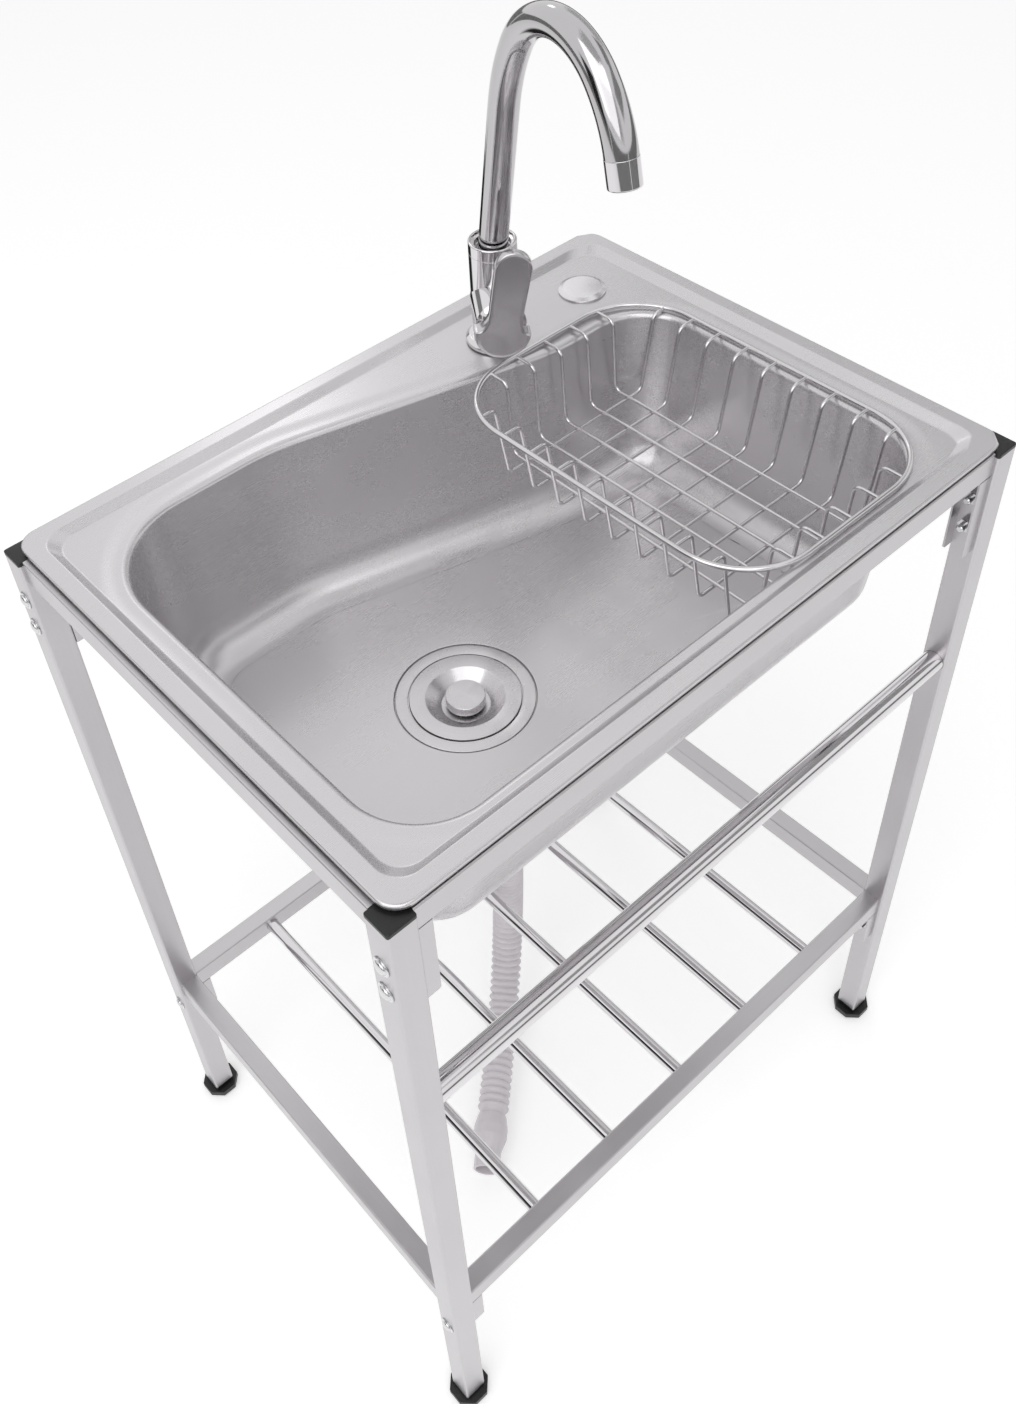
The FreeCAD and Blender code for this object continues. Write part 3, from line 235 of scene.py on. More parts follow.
def tube(path, radius, across, sides, closed=False, caps=True):
    """Round bar along a path: point + r (cos a n + sin a m), where n is the given cross vector made square to
    the path's heading t, and m = t x n. Radius may change along the path. Ends close on the path itself."""
    path = np.asarray(path, dtype=float)
    if closed:
        t = unit(np.roll(path, -1, 0) - np.roll(path, 1, 0))
    else:
        t = unit(np.gradient(path, axis=0))
    across = np.asarray(across, dtype=float)
    n = unit(across - t * (t * across).sum(-1, keepdims=True))
    m = np.cross(t, n)
    r = np.broadcast_to(np.asarray(radius, dtype=float), (len(path),))
    if caps and not closed:
        path, n, m = (np.concatenate([v[:1], v, v[-1:]]) for v in (path, n, m))
        r = np.concatenate([[0], r, [0]])
    a = np.linspace(0, 2 * np.pi, sides, endpoint=False)[None, :, None]
    points = path[:, None] + r[:, None, None] * (np.cos(a) * n[:, None] + np.sin(a) * m[:, None])
    return points.reshape(-1, 3), grid_faces(len(path), sides, wrap_rows=closed)


def outline(corners, radii, inset, count=6000):
    """Closed outline with rounded corners, moved inwards, as many even steps along it, and its arcs.

    Each corner moves by inset (na + nb) / (1 + na.nb); a convex radius shrinks by the inset, a hollow one
    grows."""
    c = np.asarray(corners, dtype=float)
    r = np.asarray(radii, dtype=float)
    a = unit(c - np.roll(c, 1, 0))
    b = np.roll(a, -1, 0)
    na = np.stack([-a[:, 1], a[:, 0]], -1)
    nb = np.roll(na, -1, 0)
    c = c + (na + nb) * (inset / (1 + (na * nb).sum(-1)))[:, None]
    turn = np.arctan2(a[:, 0] * b[:, 1] - a[:, 1] * b[:, 0], (a * b).sum(-1))
    r = np.where(turn > 0, r - inset, r + inset)[:, None]
    side = np.sign(turn)[:, None] * na
    reach = r * np.tan(np.abs(turn) / 2)[:, None]
    centre = c - a * reach + side * r
    t = np.linspace(0, 1, 33)[None, :, None] * np.abs(turn)[:, None, None]
    arcs = centre[:, None] - (side * r)[:, None] * np.cos(t) + (a * r)[:, None] * np.sin(t)
    loop = arcs.reshape(-1, 2)
    loop = np.concatenate([loop, loop[:1]])
    s = length_along(loop)
    even = np.linspace(0, s[-1], count, endpoint=False)
    return np.stack([np.interp(even, s, loop[:, 0]), np.interp(even, s, loop[:, 1])], -1), arcs


def polar_reach(loop, centre, angles):
    """Distance from a centre to an outline that it sees all of, at each angle."""
    d = loop - centre
    a = np.arctan2(d[:, 1], d[:, 0]) % (2 * np.pi)
    rho = np.linalg.norm(d, axis=1)
    order = np.argsort(a)
    return np.interp(angles, a[order], rho[order], period=2 * np.pi)


# Pieces

def add_object(name, data, columns=None):
    """Object in the scene; the columns of its matrix are its right, up and back ways and its place."""
    obj = bpy.data.objects.new(name, data)
    bpy.context.scene.collection.objects.link(obj)
    if columns:
        obj.matrix_world = Matrix(np.stack(columns, 1).tolist() + [[0, 0, 0, 1]])
    return obj


def put_piece(name, points, faces, nodes, body, slot, material=None, sharp=32.0):
    """Mesh object from points in millimetres and quads, poles merged, smooth apart from sharp edges.

    It stands for its CAD nodes, rides on a body and takes a finish: its slot's, unless another is given."""
    mesh = bpy.data.meshes.new(name)
    mesh.vertices.add(len(points))
    mesh.vertices.foreach_set("co", (np.asarray(points) * MM).astype(np.float32).ravel())
    mesh.loops.add(faces.size)
    mesh.loops.foreach_set("vertex_index", faces.astype(np.int32).ravel())
    mesh.polygons.add(len(faces))
    mesh.polygons.foreach_set("loop_start", np.arange(0, faces.size, 4, dtype=np.int32))
    mesh.update(calc_edges=True)
    work = bmesh.new()
    work.from_mesh(mesh)
    bmesh.ops.remove_doubles(work, verts=work.verts, dist=1e-6)
    work.to_mesh(mesh)
    work.free()
    mesh.polygons.foreach_set("use_smooth", np.ones(len(mesh.polygons), dtype=bool))
    mesh.set_sharp_from_angle(angle=math.radians(sharp))
    mesh.materials.append(finish(material or slot))
    obj = add_object(name, mesh)
    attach(obj, body)
    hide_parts(*nodes)
    return obj


# Shader nodes

def give(tree, socket, value):
    """Link another socket to an input, or set the input to a plain value."""
    if isinstance(value, bpy.types.NodeSocket):
        tree.links.new(value, socket)
    else:
        socket.default_value = value


def node(tree, kind, **values):
    """New node; a value named like a property sets it, and any other goes to the input of that name."""
    made = tree.nodes.new(kind)
    for key, value in values.items():
        if hasattr(made, key):
            setattr(made, key, value)
        else:
            give(tree, made.inputs[key.replace("_", " ")], value)
    return made


def maths(tree, operation, *values, clamp=False):
    """Math node whose inputs are sockets or numbers."""
    made = node(tree, "ShaderNodeMath", operation=operation, use_clamp=clamp)
    for socket, value in zip(made.inputs, values):
        give(tree, socket, value)
    return made.outputs[0]


def vector_maths(tree, operation, *values, result="Vector"):
    """Vector Math node whose inputs are sockets or vectors."""
    made = node(tree, "ShaderNodeVectorMath", operation=operation)
    for socket, value in zip(made.inputs, values):
        give(tree, socket, value)
    return made.outputs[result]


def object_place(tree):
    """Place on the piece, in its own coordinates."""
    return tree.nodes.new("ShaderNodeTexCoord").outputs["Object"]


def noise(tree, **values):
    """Noise of about 0 to 1."""
    return node(tree, "ShaderNodeTexNoise", **values).outputs["Fac"]


def new_material(name, **values):
    """Material with a Principled shader, whose own sockets take the values."""
    made = bpy.data.materials.new(name)
    made.use_nodes = True
    tree = made.node_tree
    shader = tree.nodes["Principled BSDF"]
    for key, value in values.items():
        shader.inputs[key.replace("_", " ")].default_value = value
    return tree, shader


# Effects that finishes share

def effect_group(name, inputs, outputs):
    """Empty shader node group; an input is a vector where its default is one, and outputs are numbers."""
    tree = bpy.data.node_groups.new(name, "ShaderNodeTree")
    for label, default in inputs.items():
        kind = "NodeSocketVector" if isinstance(default, tuple) else "NodeSocketFloat"
        socket = tree.interface.new_socket(name=label, in_out="INPUT", socket_type=kind)
        socket.default_value = default
    for label in outputs:
        tree.interface.new_socket(name=label, in_out="OUTPUT", socket_type="NodeSocketFloat")
    return tree, tree.nodes.new("NodeGroupInput").outputs, tree.nodes.new("NodeGroupOutput").inputs


def make_brushed_marks():
    """Brushing: seven parts of fine noise and three of broad, over the place times a stretch."""
    tree, given, put = effect_group("brushed_marks", {"Stretch": (400.0, 400.0, 6.0)}, ["Grain"])
    stretched = vector_maths(tree, "MULTIPLY", object_place(tree), given["Stretch"])
    fine = noise(tree, Vector=stretched, Scale=3.0, Detail=4.0, Roughness=0.65)
    broad = noise(tree, Vector=stretched, Scale=0.6, Detail=2.0, Roughness=0.5)
    grain = maths(tree, "MULTIPLY_ADD", fine, 0.7, maths(tree, "MULTIPLY", broad, 0.3))
    tree.links.new(grain, put["Grain"])


def make_turned_rings():
    """Turning marks: noise over the distance from an upright axis."""
    tree, given, put = effect_group("turned_rings", {"Centre": (0.0, 0.0, 0.0), "Rings": 900.0}, ["Height"])
    arm = vector_maths(tree, "SUBTRACT", object_place(tree), given["Centre"])
    level = vector_maths(tree, "MULTIPLY", arm, (1, 1, 0))
    away = vector_maths(tree, "LENGTH", level, result="Value")
    rings = noise(tree, noise_dimensions="1D", W=maths(tree, "MULTIPLY", away, given["Rings"]), Scale=1.0,
                  Detail=3.0, Roughness=0.7)
    tree.links.new(rings, put["Height"])


def make_handling_marks():
    """Handling: clouds as a mask, 0 where the noise is below the low value and 1 above the high one."""
    tree, given, put = effect_group("handling_marks", {"Size": 14.0, "Low": 0.4, "High": 0.7}, ["Mask"])
    cloud = noise(tree, Vector=object_place(tree), Scale=given["Size"], Detail=5.0, Roughness=0.6,
                  Distortion=0.4)
    span = node(tree, "ShaderNodeMapRange", interpolation_type="SMOOTHSTEP", Value=cloud,
                From_Min=given["Low"], From_Max=given["High"])
    tree.links.new(span.outputs["Result"], put["Mask"])


def make_moulded_grain():
    """Moulding: fine pits as a height, and broad clouds for gloss and shade."""
    tree, given, put = effect_group("moulded_grain", {"Size": 900.0}, ["Height", "Cloud"])
    place = object_place(tree)
    tree.links.new(noise(tree, Vector=place, Scale=given["Size"], Detail=3.0, Roughness=0.6), put["Height"])
    tree.links.new(noise(tree, Vector=place, Scale=26.0, Detail=4.0, Roughness=0.6), put["Cloud"])


def place_effect(tree, name, **values):
    """Outputs of a shared effect in a material, with its own values."""
    return node(tree, "ShaderNodeGroup", node_tree=bpy.data.node_groups[name], **values).outputs


# Finishes

def finish(name):
    """Finish of that name; the suffix keeps it apart from the plain materials that the solids come with."""
    return bpy.data.materials[name + "_finish"]


def new_finish(name, metallic, **values):
    """Material of a finish, with its Principled shader."""
    return new_material(name + "_finish", Metallic=metallic, **values)


def shade_colour(tree, factor, dark, light, shader):
    """Base colour between two values by a factor."""
    mix = node(tree, "ShaderNodeMix", data_type="RGBA", A=(*dark, 1), B=(*light, 1), Factor=factor)
    tree.links.new(mix.outputs["Result"], shader.inputs["Base Color"])


def spread_gloss(tree, value, low, high, shader):
    """Roughness from low to high, by a value of 0 to 1."""
    span = node(tree, "ShaderNodeMapRange", Value=value, To_Min=low, To_Max=high)
    tree.links.new(span.outputs["Result"], shader.inputs["Roughness"])


def bump(tree, height, distance, strength, shader):
    """Height to the shader's normal."""
    made = node(tree, "ShaderNodeBump", Strength=strength, Distance=distance, Height=height)
    tree.links.new(made.outputs["Normal"], shader.inputs["Normal"])


def tint(colour, factor):
    """Colour times a factor, kept within one."""
    return tuple(min(1.0, c * factor) for c in colour)


def brushed_steel(name, colour, stretch, rough, marks, depth=0.00002, metallic=1.0, grainy=1.0):
    """Steel brushed along one way, with handling marks in its gloss and a little change of shade."""
    tree, shader = new_finish(name, metallic)
    grain = place_effect(tree, "brushed_marks", Stretch=stretch)["Grain"]
    hands = place_effect(tree, "handling_marks", Size=9.0)["Mask"]
    from_hands, darker, lighter, streak = 0.25, 0.07 * grainy, 0.06 * grainy, 0.12 * grainy
    brushed = maths(tree, "MULTIPLY", grain, 1 - from_hands)
    shade = maths(tree, "MULTIPLY_ADD", hands, from_hands, brushed)
    shade_colour(tree, shade, tint(colour, 1 - darker), tint(colour, 1 + lighter), shader)
    gloss = maths(tree, "MULTIPLY_ADD", hands, marks, maths(tree, "MULTIPLY", grain, streak))
    tree.links.new(maths(tree, "ADD", gloss, rough - streak / 2), shader.inputs["Roughness"])
    bump(tree, grain, depth, 0.5, shader)


def turned_steel(name, colour, rough, marks):
    """Steel turned about the drain's axis: fine rings, and gloss drawn out across them."""
    tree, shader = new_finish(name, 1.0, Anisotropic=0.85, Anisotropic_Rotation=0.25)
    rings = place_effect(tree, "turned_rings", Centre=(*(DRAIN * MM), 0))["Height"]
    hands = place_effect(tree, "handling_marks", Size=30.0)["Mask"]
    shade_colour(tree, rings, tint(colour, 0.94), tint(colour, 1.05), shader)
    spread_gloss(tree, hands, rough, rough + marks, shader)
    around = node(tree, "ShaderNodeTangent", direction_type="RADIAL", axis="Z")
    tree.links.new(around.outputs["Tangent"], shader.inputs["Tangent"])
    bump(tree, rings, 0.00002, 0.4, shader)


def polished(name, colour, rough, marks):
    """Plated or polished metal: clear reflections, dulled a little by handling."""
    tree, shader = new_finish(name, 1.0)
    hands = place_effect(tree, "handling_marks", Size=22.0, Low=0.45, High=0.8)["Mask"]
    spread_gloss(tree, hands, rough, rough + marks, shader)
    shade_colour(tree, hands, colour, tint(colour, 0.96), shader)


def moulded(name, colour, rough, depth):
    """Moulded plastic or rubber: fine grain, clouds in its gloss and shade."""
    tree, shader = new_finish(name, 0.0)
    grain = place_effect(tree, "moulded_grain")
    shade_colour(tree, grain["Cloud"], tint(colour, 0.86), tint(colour, 1.12), shader)
    spread_gloss(tree, grain["Cloud"], rough - 0.08, rough + 0.08, shader)
    bump(tree, grain["Height"], depth, 0.4, shader)


def make_finishes(colours):
    """Every finish of the sink, from the shared effects."""
    make_brushed_marks()
    make_turned_rings()
    make_handling_marks()
    make_moulded_grain()
    steel = tuple(colours.satin_steel)
    sheet = tuple(colours.sink_steel)
    chrome = tuple(colours.chrome)
    for way, stretch in (("upright", (420, 420, 5)), ("across", (5, 420, 420)), ("inward", (420, 5, 420))):
        brushed_steel("satin_steel_" + way, steel, stretch, rough=0.33, marks=0.08)
    brushed_steel("sink_steel", sheet, (6, 380, 380), rough=0.27, marks=0.02, depth=0.0000003, metallic=0.74,
                  grainy=0.35)
    turned_steel("drain_steel", sheet, rough=0.24, marks=0.06)
    for name, colour, rough, marks in (
        ("bright_chrome", chrome, 0.06, 0.08),
        # the spout's chrome is the tap's chrome made darker: painted shade standing in for the darker
        # reflections on the spout
        ("spout_chrome", tint(chrome, 0.74), 0.09, 0.08),
        ("wire_steel", tint(chrome, 0.95), 0.14, 0.10),
        ("lever_steel", tint(chrome, 0.8), 0.22, 0.08),
        ("cover_steel", tint(chrome, 1.05), 0.26, 0.08),
        ("zinc_steel", (0.66, 0.66, 0.67), 0.22, 0.15),
        ("tap_brass", (0.74, 0.58, 0.28), 0.22, 0.15),
    ):
        polished(name, colour, rough, marks)
    for name, colour, rough, depth in (
        ("black_plastic", tuple(colours.black_plastic), 0.42, 0.00003),
        ("seal_rubber", (0.02, 0.02, 0.02), 0.62, 0.00004),
        ("hose_plastic", tuple(colours.hose_plastic), 0.24, 0.00002),
        ("pale_plastic", (0.72, 0.72, 0.70), 0.40, 0.00003),
    ):
        moulded(name, colour, rough, depth)


def finish_nodes():
    """Finish of every CAD node that shows as it is: its slot's, or one brushed along the piece."""
    by_slot = {"satin_steel": "satin_steel_upright", "sink_steel": "drain_steel", "basket_wire": "wire_steel"}
    by_ending = {
        "brackets": "satin_steel_upright",
        "rail_front": "satin_steel_across",
        "rail_back": "satin_steel_across",
        "rail_left": "satin_steel_inward",
        "rail_right": "satin_steel_inward",
    }
    slots = {row["node"]: row["material_slot"] for row in frame["record"]["subparts"]}
    for name, obj in frame["nodes"].items():
        chosen = by_slot.get(slots[name], slots[name])
        for ending, material in by_ending.items():
            if name.endswith(ending):
                chosen = material
        if not obj.material_slots:
            obj.data.materials.append(None)
        for place in obj.material_slots:
            place.material = finish(chosen)


# Hose

def hose_line():
    """Points of the NURBS spline whose control points are the hose's route, in metres."""
    curve = bpy.data.curves.new("hose_route", "CURVE")
    curve.dimensions = "3D"
    curve.resolution_u = 80
    spline = curve.splines.new("NURBS")
    spline.points.add(len(HOSE_ROUTE) - 1)
    for point, place in zip(spline.points, HOSE_ROUTE):
        point.co = (*(c * MM for c in place), 1.0)
    spline.order_u = 3
    spline.use_endpoint_u = True
    holder = bpy.data.objects.new("hose_route", curve)
    mesh = bpy.data.meshes.new_from_object(holder)
    line = np.empty(len(mesh.vertices) * 3)
    mesh.vertices.foreach_get("co", line)
    bpy.data.objects.remove(holder)
    bpy.data.curves.remove(curve)
    bpy.data.meshes.remove(mesh)
    return line.reshape(-1, 3)


def make_hose(sizes):
    """Ribbed hose and end sleeve.

    Along the line's length s the radius is valley + rib (0.5 - 0.5 cos(2 pi s / pitch)) ** 0.55, between a
    plain neck under the nut and a short plain end in the sleeve. The sleeve is a profile turned about the
    last heading."""
    line = hose_line() / MM
    s = length_along(line)
    length = s[-1]
    neck, last = 32.0, length - 5.0
    steps, fullness = 8, 0.55
    ribs = round((last - neck) / (sizes.hose_pitch / MM))
    station = np.concatenate([[0, neck * 0.5], np.linspace(neck, last, ribs * steps + 1), [length]])
    path = np.stack([np.interp(station, s, line[:, k]) for k in range(3)], -1)
    inner = np.clip((station - neck) / (last - neck), 0, 1) * ribs
    wave = (0.5 - 0.5 * np.cos(2 * np.pi * inner)) ** fullness
    crest = sizes.hose_crest / MM
    rib = sizes.hose_rib / MM
    radius = crest - rib + rib * wave
    square_to_bend = (0.655, -0.756, 0.0)
    points, faces = tube(path, radius, square_to_bend, sides=28, caps=False)
    hose = put_piece("waste_hose", points, faces, ["drain_hose"], "base", "hose_plastic", sharp=70)

    end = line[-1]
    way = unit(np.array(HOSE_ROUTE[-1]) - np.array(HOSE_ROUTE[-2]))
    bore, swell, spigot, reach = 11.0, 18.0, 13.6, 57
    profile = rounded(
        [(bore, 3), (11.5, -0.5), (15.1, -0.5), (swell, 13), (swell, 23), (spigot, 37), (spigot, reach),
         (bore, reach), (bore, 3)],
        [0.5, 1.0, 6, 6, 6, 1.2, 0.8], steps=6, hold=0)
    points, faces = lathe(profile, end, way, 64)
    sleeve = put_piece("hose_sleeve", points, faces, ["hose_cuff"], "base", "hose_plastic")


# Sink

def rim_loop(inset):
    """Outline of the rim, moved inwards; its corners get rounder than the move alone would leave them."""
    half_x, half_y, corner = 292, 215, 16.0
    corners = [(-half_x, -half_y), (half_x, -half_y), (half_x, half_y), (-half_x, half_y)]
    return outline(corners, [corner + 1.15 * inset] * 4, inset)


def bowl_loop(inset):
    """Outline of the bowl's edge, moved inwards; its back edge bends forwards on the right."""
    left, right, front, back, back_right = -256, 248, -186, 173, 108
    corners = [(left, front), (right, front), (right, back_right), (150, back_right), (-95, back),
               (left, back)]
    return outline(corners, [55, 55, 50, 190, 190, 78], inset)


def make_bowl(sizes):
    """Pressed sink as one sheet.

    Seen from the drain, column angle a and row k give the point drain + reach_k(a) (cos a, sin a) at height
    z_k, where reach_k is an outline moved inwards by the row's inset: rim rows first, then the shallow ledge
    round the bowl, bowl rows and circles of the seat. The ledge lowers the sheet by a smooth step of the
    distance from the bowl's edge, which fades out over the rim and towards the floor."""
    border, foot, wall_lean = 13, 20, 15
    step_round = sizes.step_round / MM
    rim = rounded(
        [(0, RAIL_TOP + sizes.rim_gap / MM), (0, RIM_TOP), (border, RIM_TOP), (foot, DECK), (21.9, DECK)],
        [sizes.rim_fold / MM, step_round, step_round], steps=6)
    bowl = rounded(
        [(-6.5, DECK), (0, DECK), (wall_lean, FLOOR), (46, FLOOR)],
        [sizes.lip_round / MM, sizes.floor_round / MM], steps=14)
    seat = rounded([(62, FLOOR), (55.4, FLOOR), (55.2, SEAT), (45, SEAT)], [0.3, 0.5], steps=4, hold=0.4)

    even_columns, least_angle, least_gap = 260, 0.003, 0.04
    keys = [rim_loop(inset)[1] for inset in (0, border, foot)]
    keys += [bowl_loop(inset)[1] for inset in (0, wall_lean)]
    marks = [arcs[:, ::3].reshape(-1, 2) - DRAIN for arcs in keys]
    angles = [np.arctan2(m[:, 1], m[:, 0]) for m in marks] + [np.linspace(-np.pi, np.pi, even_columns)]
    angles = np.sort(np.concatenate(angles) % (2 * np.pi))
    angles = angles[np.concatenate([[True], np.diff(angles) > least_angle])]

    rows = [polar_reach(rim_loop(inset)[0], DRAIN, angles) for inset in rim[:, 0]]
    ledge_end, ledge_rows = 9.0, 9
    outsets = np.linspace(sizes.ledge_out / MM, ledge_end, ledge_rows)
    ledge = [polar_reach(bowl_loop(-outset)[0], DRAIN, angles) for outset in outsets]
    for reach in ledge:
        rows.append(np.minimum(reach, rows[-1] - least_gap))
    rows += [polar_reach(bowl_loop(inset)[0], DRAIN, angles) for inset in bowl[:, 0]]
    rows += [np.full_like(angles, r) for r in seat[:, 0]]
    heights = np.concatenate([rim[:, 1], np.full(ledge_rows, DECK), bowl[:, 1], seat[:, 1]])

    reach = np.array(rows)
    z = np.broadcast_to(heights[:, None], reach.shape)
    dip = smooth_step((ledge[0] - reach) / (ledge[0] - ledge[-1]))
    dip = dip * np.clip((RIM_TOP - z) / 5, 0, 1) * np.clip((z - FLOOR - 40) / 60, 0, 1)
    z = z - sizes.ledge_drop / MM * dip
    flat = DRAIN + reach[:, :, None] * np.stack([np.cos(angles), np.sin(angles)], -1)
    points = np.concatenate([flat, z[:, :, None]], -1).reshape(-1, 3)
    faces = grid_faces(len(rows), len(angles))
    sink = put_piece("pressed_sink", points, faces, ["sink_bowl"], "base", "sink_steel", sharp=50)
    wall = sink.modifiers.new("sheet", "SOLIDIFY")
    wall.thickness = SHEET * MM
    wall.offset = -1.0


def make_drain():
    """Cup with its flange, lift-out strainer and knob, each a profile turned about the drain's axis."""
    z, low = SEAT, SEAT - 36.0
    bore, outlet, inside, outside, flange = 17.8, 19, 42.3, 43.5, 54.3
    cup = rounded(
        [(bore, low - 20), (outlet, low - 20), (outlet, low - 1.2), (40.5, low - 1.2), (outside, low + 1.8),
         (outside, z), (flange, z), (flange, z + 2.4), (44.5, z + 2.4), (44.5, z + 1.0), (43.4, z + 1.0),
         (inside, z - 0.4), (inside, low + 2.4), (39.9, low), (bore, low), (bore, low - 20)],
        [0.3, 1, 1.5, 1.5, 0.2, 0.2, 0.7, 0.3, 0, 0.8, 1.2, 1, 1, 1], steps=4, hold=0)
    rim = SEAT + 1.9
    dish, slope, edge = 19, 31, 43.3
    strainer = rounded(
        [(0, rim - 9), (dish, rim - 9), (slope, rim), (edge, rim), (edge, rim + 1), (slope, rim + 1),
         (dish, rim - 8), (0, rim - 8)],
        [1, 1.2, 0.2, 0.3, 0.8, 0.6], steps=4, hold=0)
    k = SEAT + 1.6 + 0.3 - 9.0 + 1.0
    stem, head = 5, 15.5
    knob = rounded(
        [(0, k), (stem, k), (stem, k + 2.6), (14.6, k + 2.6), (head, k + 3.4), (head, k + 10.4),
         (14.9, k + 11), (0, k + 11)],
        [0.3, 0.6, 0.4, 0.4, 0.3, 0.3], steps=5, hold=0)
    for name, node_name, body, profile in (
        ("drain_cup", "strainer_body", "base", cup),
        ("lift_out_strainer", "strainer_basket", "strainer", strainer),
        ("strainer_knob_turned", "strainer_knob", "strainer", knob),
    ):
        put_piece(name, *lathe(profile, (*DRAIN, 0)), [node_name], body, "sink_steel", "drain_steel")


# Tap

def lever_axes():
    """Start of the stub's axis, and the lever's ways outwards along it and sideways."""
    a = math.radians(STUB_ANGLE)
    side = np.array([math.cos(a), -math.sin(a), 0])
    out = np.array([-math.sin(a), -math.cos(a), 0])
    return np.array([*TAP, BODY_LOW + STUB_HEIGHT]), out, side


def lever_surface():
    """Spade-shaped lever in its own axes, turned 10 degrees.

    The outline is a hub arc, two hollow shoulders, straight sides and a round tip. A row at inset d of a
    point P on it is S + (P - S)(1 - d / |P - S|), S being the nearest point of the middle line; two rows near
    the middle are at a share of the way instead. The front is flat; the back follows the ball behind the hub
    and is flat above it, joined by a smooth step in y."""
    hub, waist, tip, top, shoulder = 22.5, 13.5, 14.5, 72.0, 18.0
    t = np.linspace(np.pi, 2 * np.pi, 49)
    under = np.stack([hub * np.cos(t), hub * np.sin(t)], -1)
    t = np.linspace(-np.pi / 2, -np.pi, 17)[1:]
    right = np.stack([hub + (hub - waist) * np.cos(t), shoulder + shoulder * np.sin(t)], -1)
    t = np.linspace(0, np.pi, 33)
    round_tip = np.stack([tip * np.cos(t), top - tip + tip * np.sin(t)], -1)
    left = right[::-1] * (-1, 1)
    ys = np.linspace(0, 1, 12)[1:-1, None]
    side = right[-1] * (1 - ys) + round_tip[0] * ys
    loop = np.concatenate([under, right, side, round_tip, side[::-1] * (-1, 1), left[:-1]])
    spine = np.stack([np.zeros(len(loop)), np.clip(loop[:, 1], 0, top - tip)], -1)
    arm = loop - spine
    long = np.linalg.norm(arm, axis=1, keepdims=True)

    thick, ball = 7.0, PIVOT_BALL + 0.5
    inset = np.array([99, 8, 3, 1, 0.3, 0, 0, 0, 0.3, 0.8, 1.7, 4, 9, 99.0])[:, None, None]
    lift = np.array([0, 0, 0, 0, 0, 0, 0.3, 1.2, 3.5, 5.2, 6.2, 6.7, thick, thick, thick, thick])[:, None]
    share = np.clip(1 - inset / long[None], 0, 1)
    near_middle = [np.full((1, *long.shape), part) for part in (0.2, 0.36)]
    share = np.concatenate([share[:1], *near_middle, share[1:]])
    plan = spine[None] + arm[None] * share
    flat_from, flat_over = 2, 16
    flat = smooth_step((plan[..., 1] - flat_from) / flat_over)
    back = np.sqrt(np.maximum(ball ** 2 - (plan ** 2).sum(-1), 1)) * (1 - flat) + ball * flat
    z = PIVOT_REACH + back + (ball + thick - back) * lift / thick
    a = math.radians(-10.0)
    x = plan[..., 0] * math.cos(a) - plan[..., 1] * math.sin(a)
    y = plan[..., 0] * math.sin(a) + plan[..., 1] * math.cos(a)
    start, out, sideways = lever_axes()
    points = start + x[..., None] * sideways + y[..., None] * UP + z[..., None] * out
    return points.reshape(-1, 3), grid_faces(len(share), len(loop))


def spout_line():
    """Line of the swan neck: upright in the collar, a bend into a lean of 11.4 degrees, a straight riser,
    then the crook in three arcs. Each arc has a radius, angle, number of steps and the straight after it."""
    turn = math.radians(11.05)
    fore = np.array([-math.sin(turn), -math.cos(turn), 0])
    at = np.array([*TAP, BODY_TOP - 2.5])
    in_body = 21.2
    line = [np.array([at - in_body * UP, at])]
    heading = 0.0
    for radius, angle, steps, straight in (
        (40.0, 11.43, 8, 128.4), (161.2, 19.4, 20, 0), (63.5, 106.1, 90, 0), (95.7, 29.0, 24, 0),
    ):
        centre = at + radius * (math.cos(heading) * fore - math.sin(heading) * UP)
        h = heading + np.linspace(0, math.radians(angle), steps + 1)[1:, None]
        line.append(centre - radius * np.cos(h) * fore + radius * np.sin(h) * UP)
        heading += math.radians(angle)
        way = math.sin(heading) * fore + math.cos(heading) * UP
        at = line[-1][-1] + straight * way
        if straight:
            line.append(at[None])
    return np.concatenate(line), way, np.cross(fore, UP)


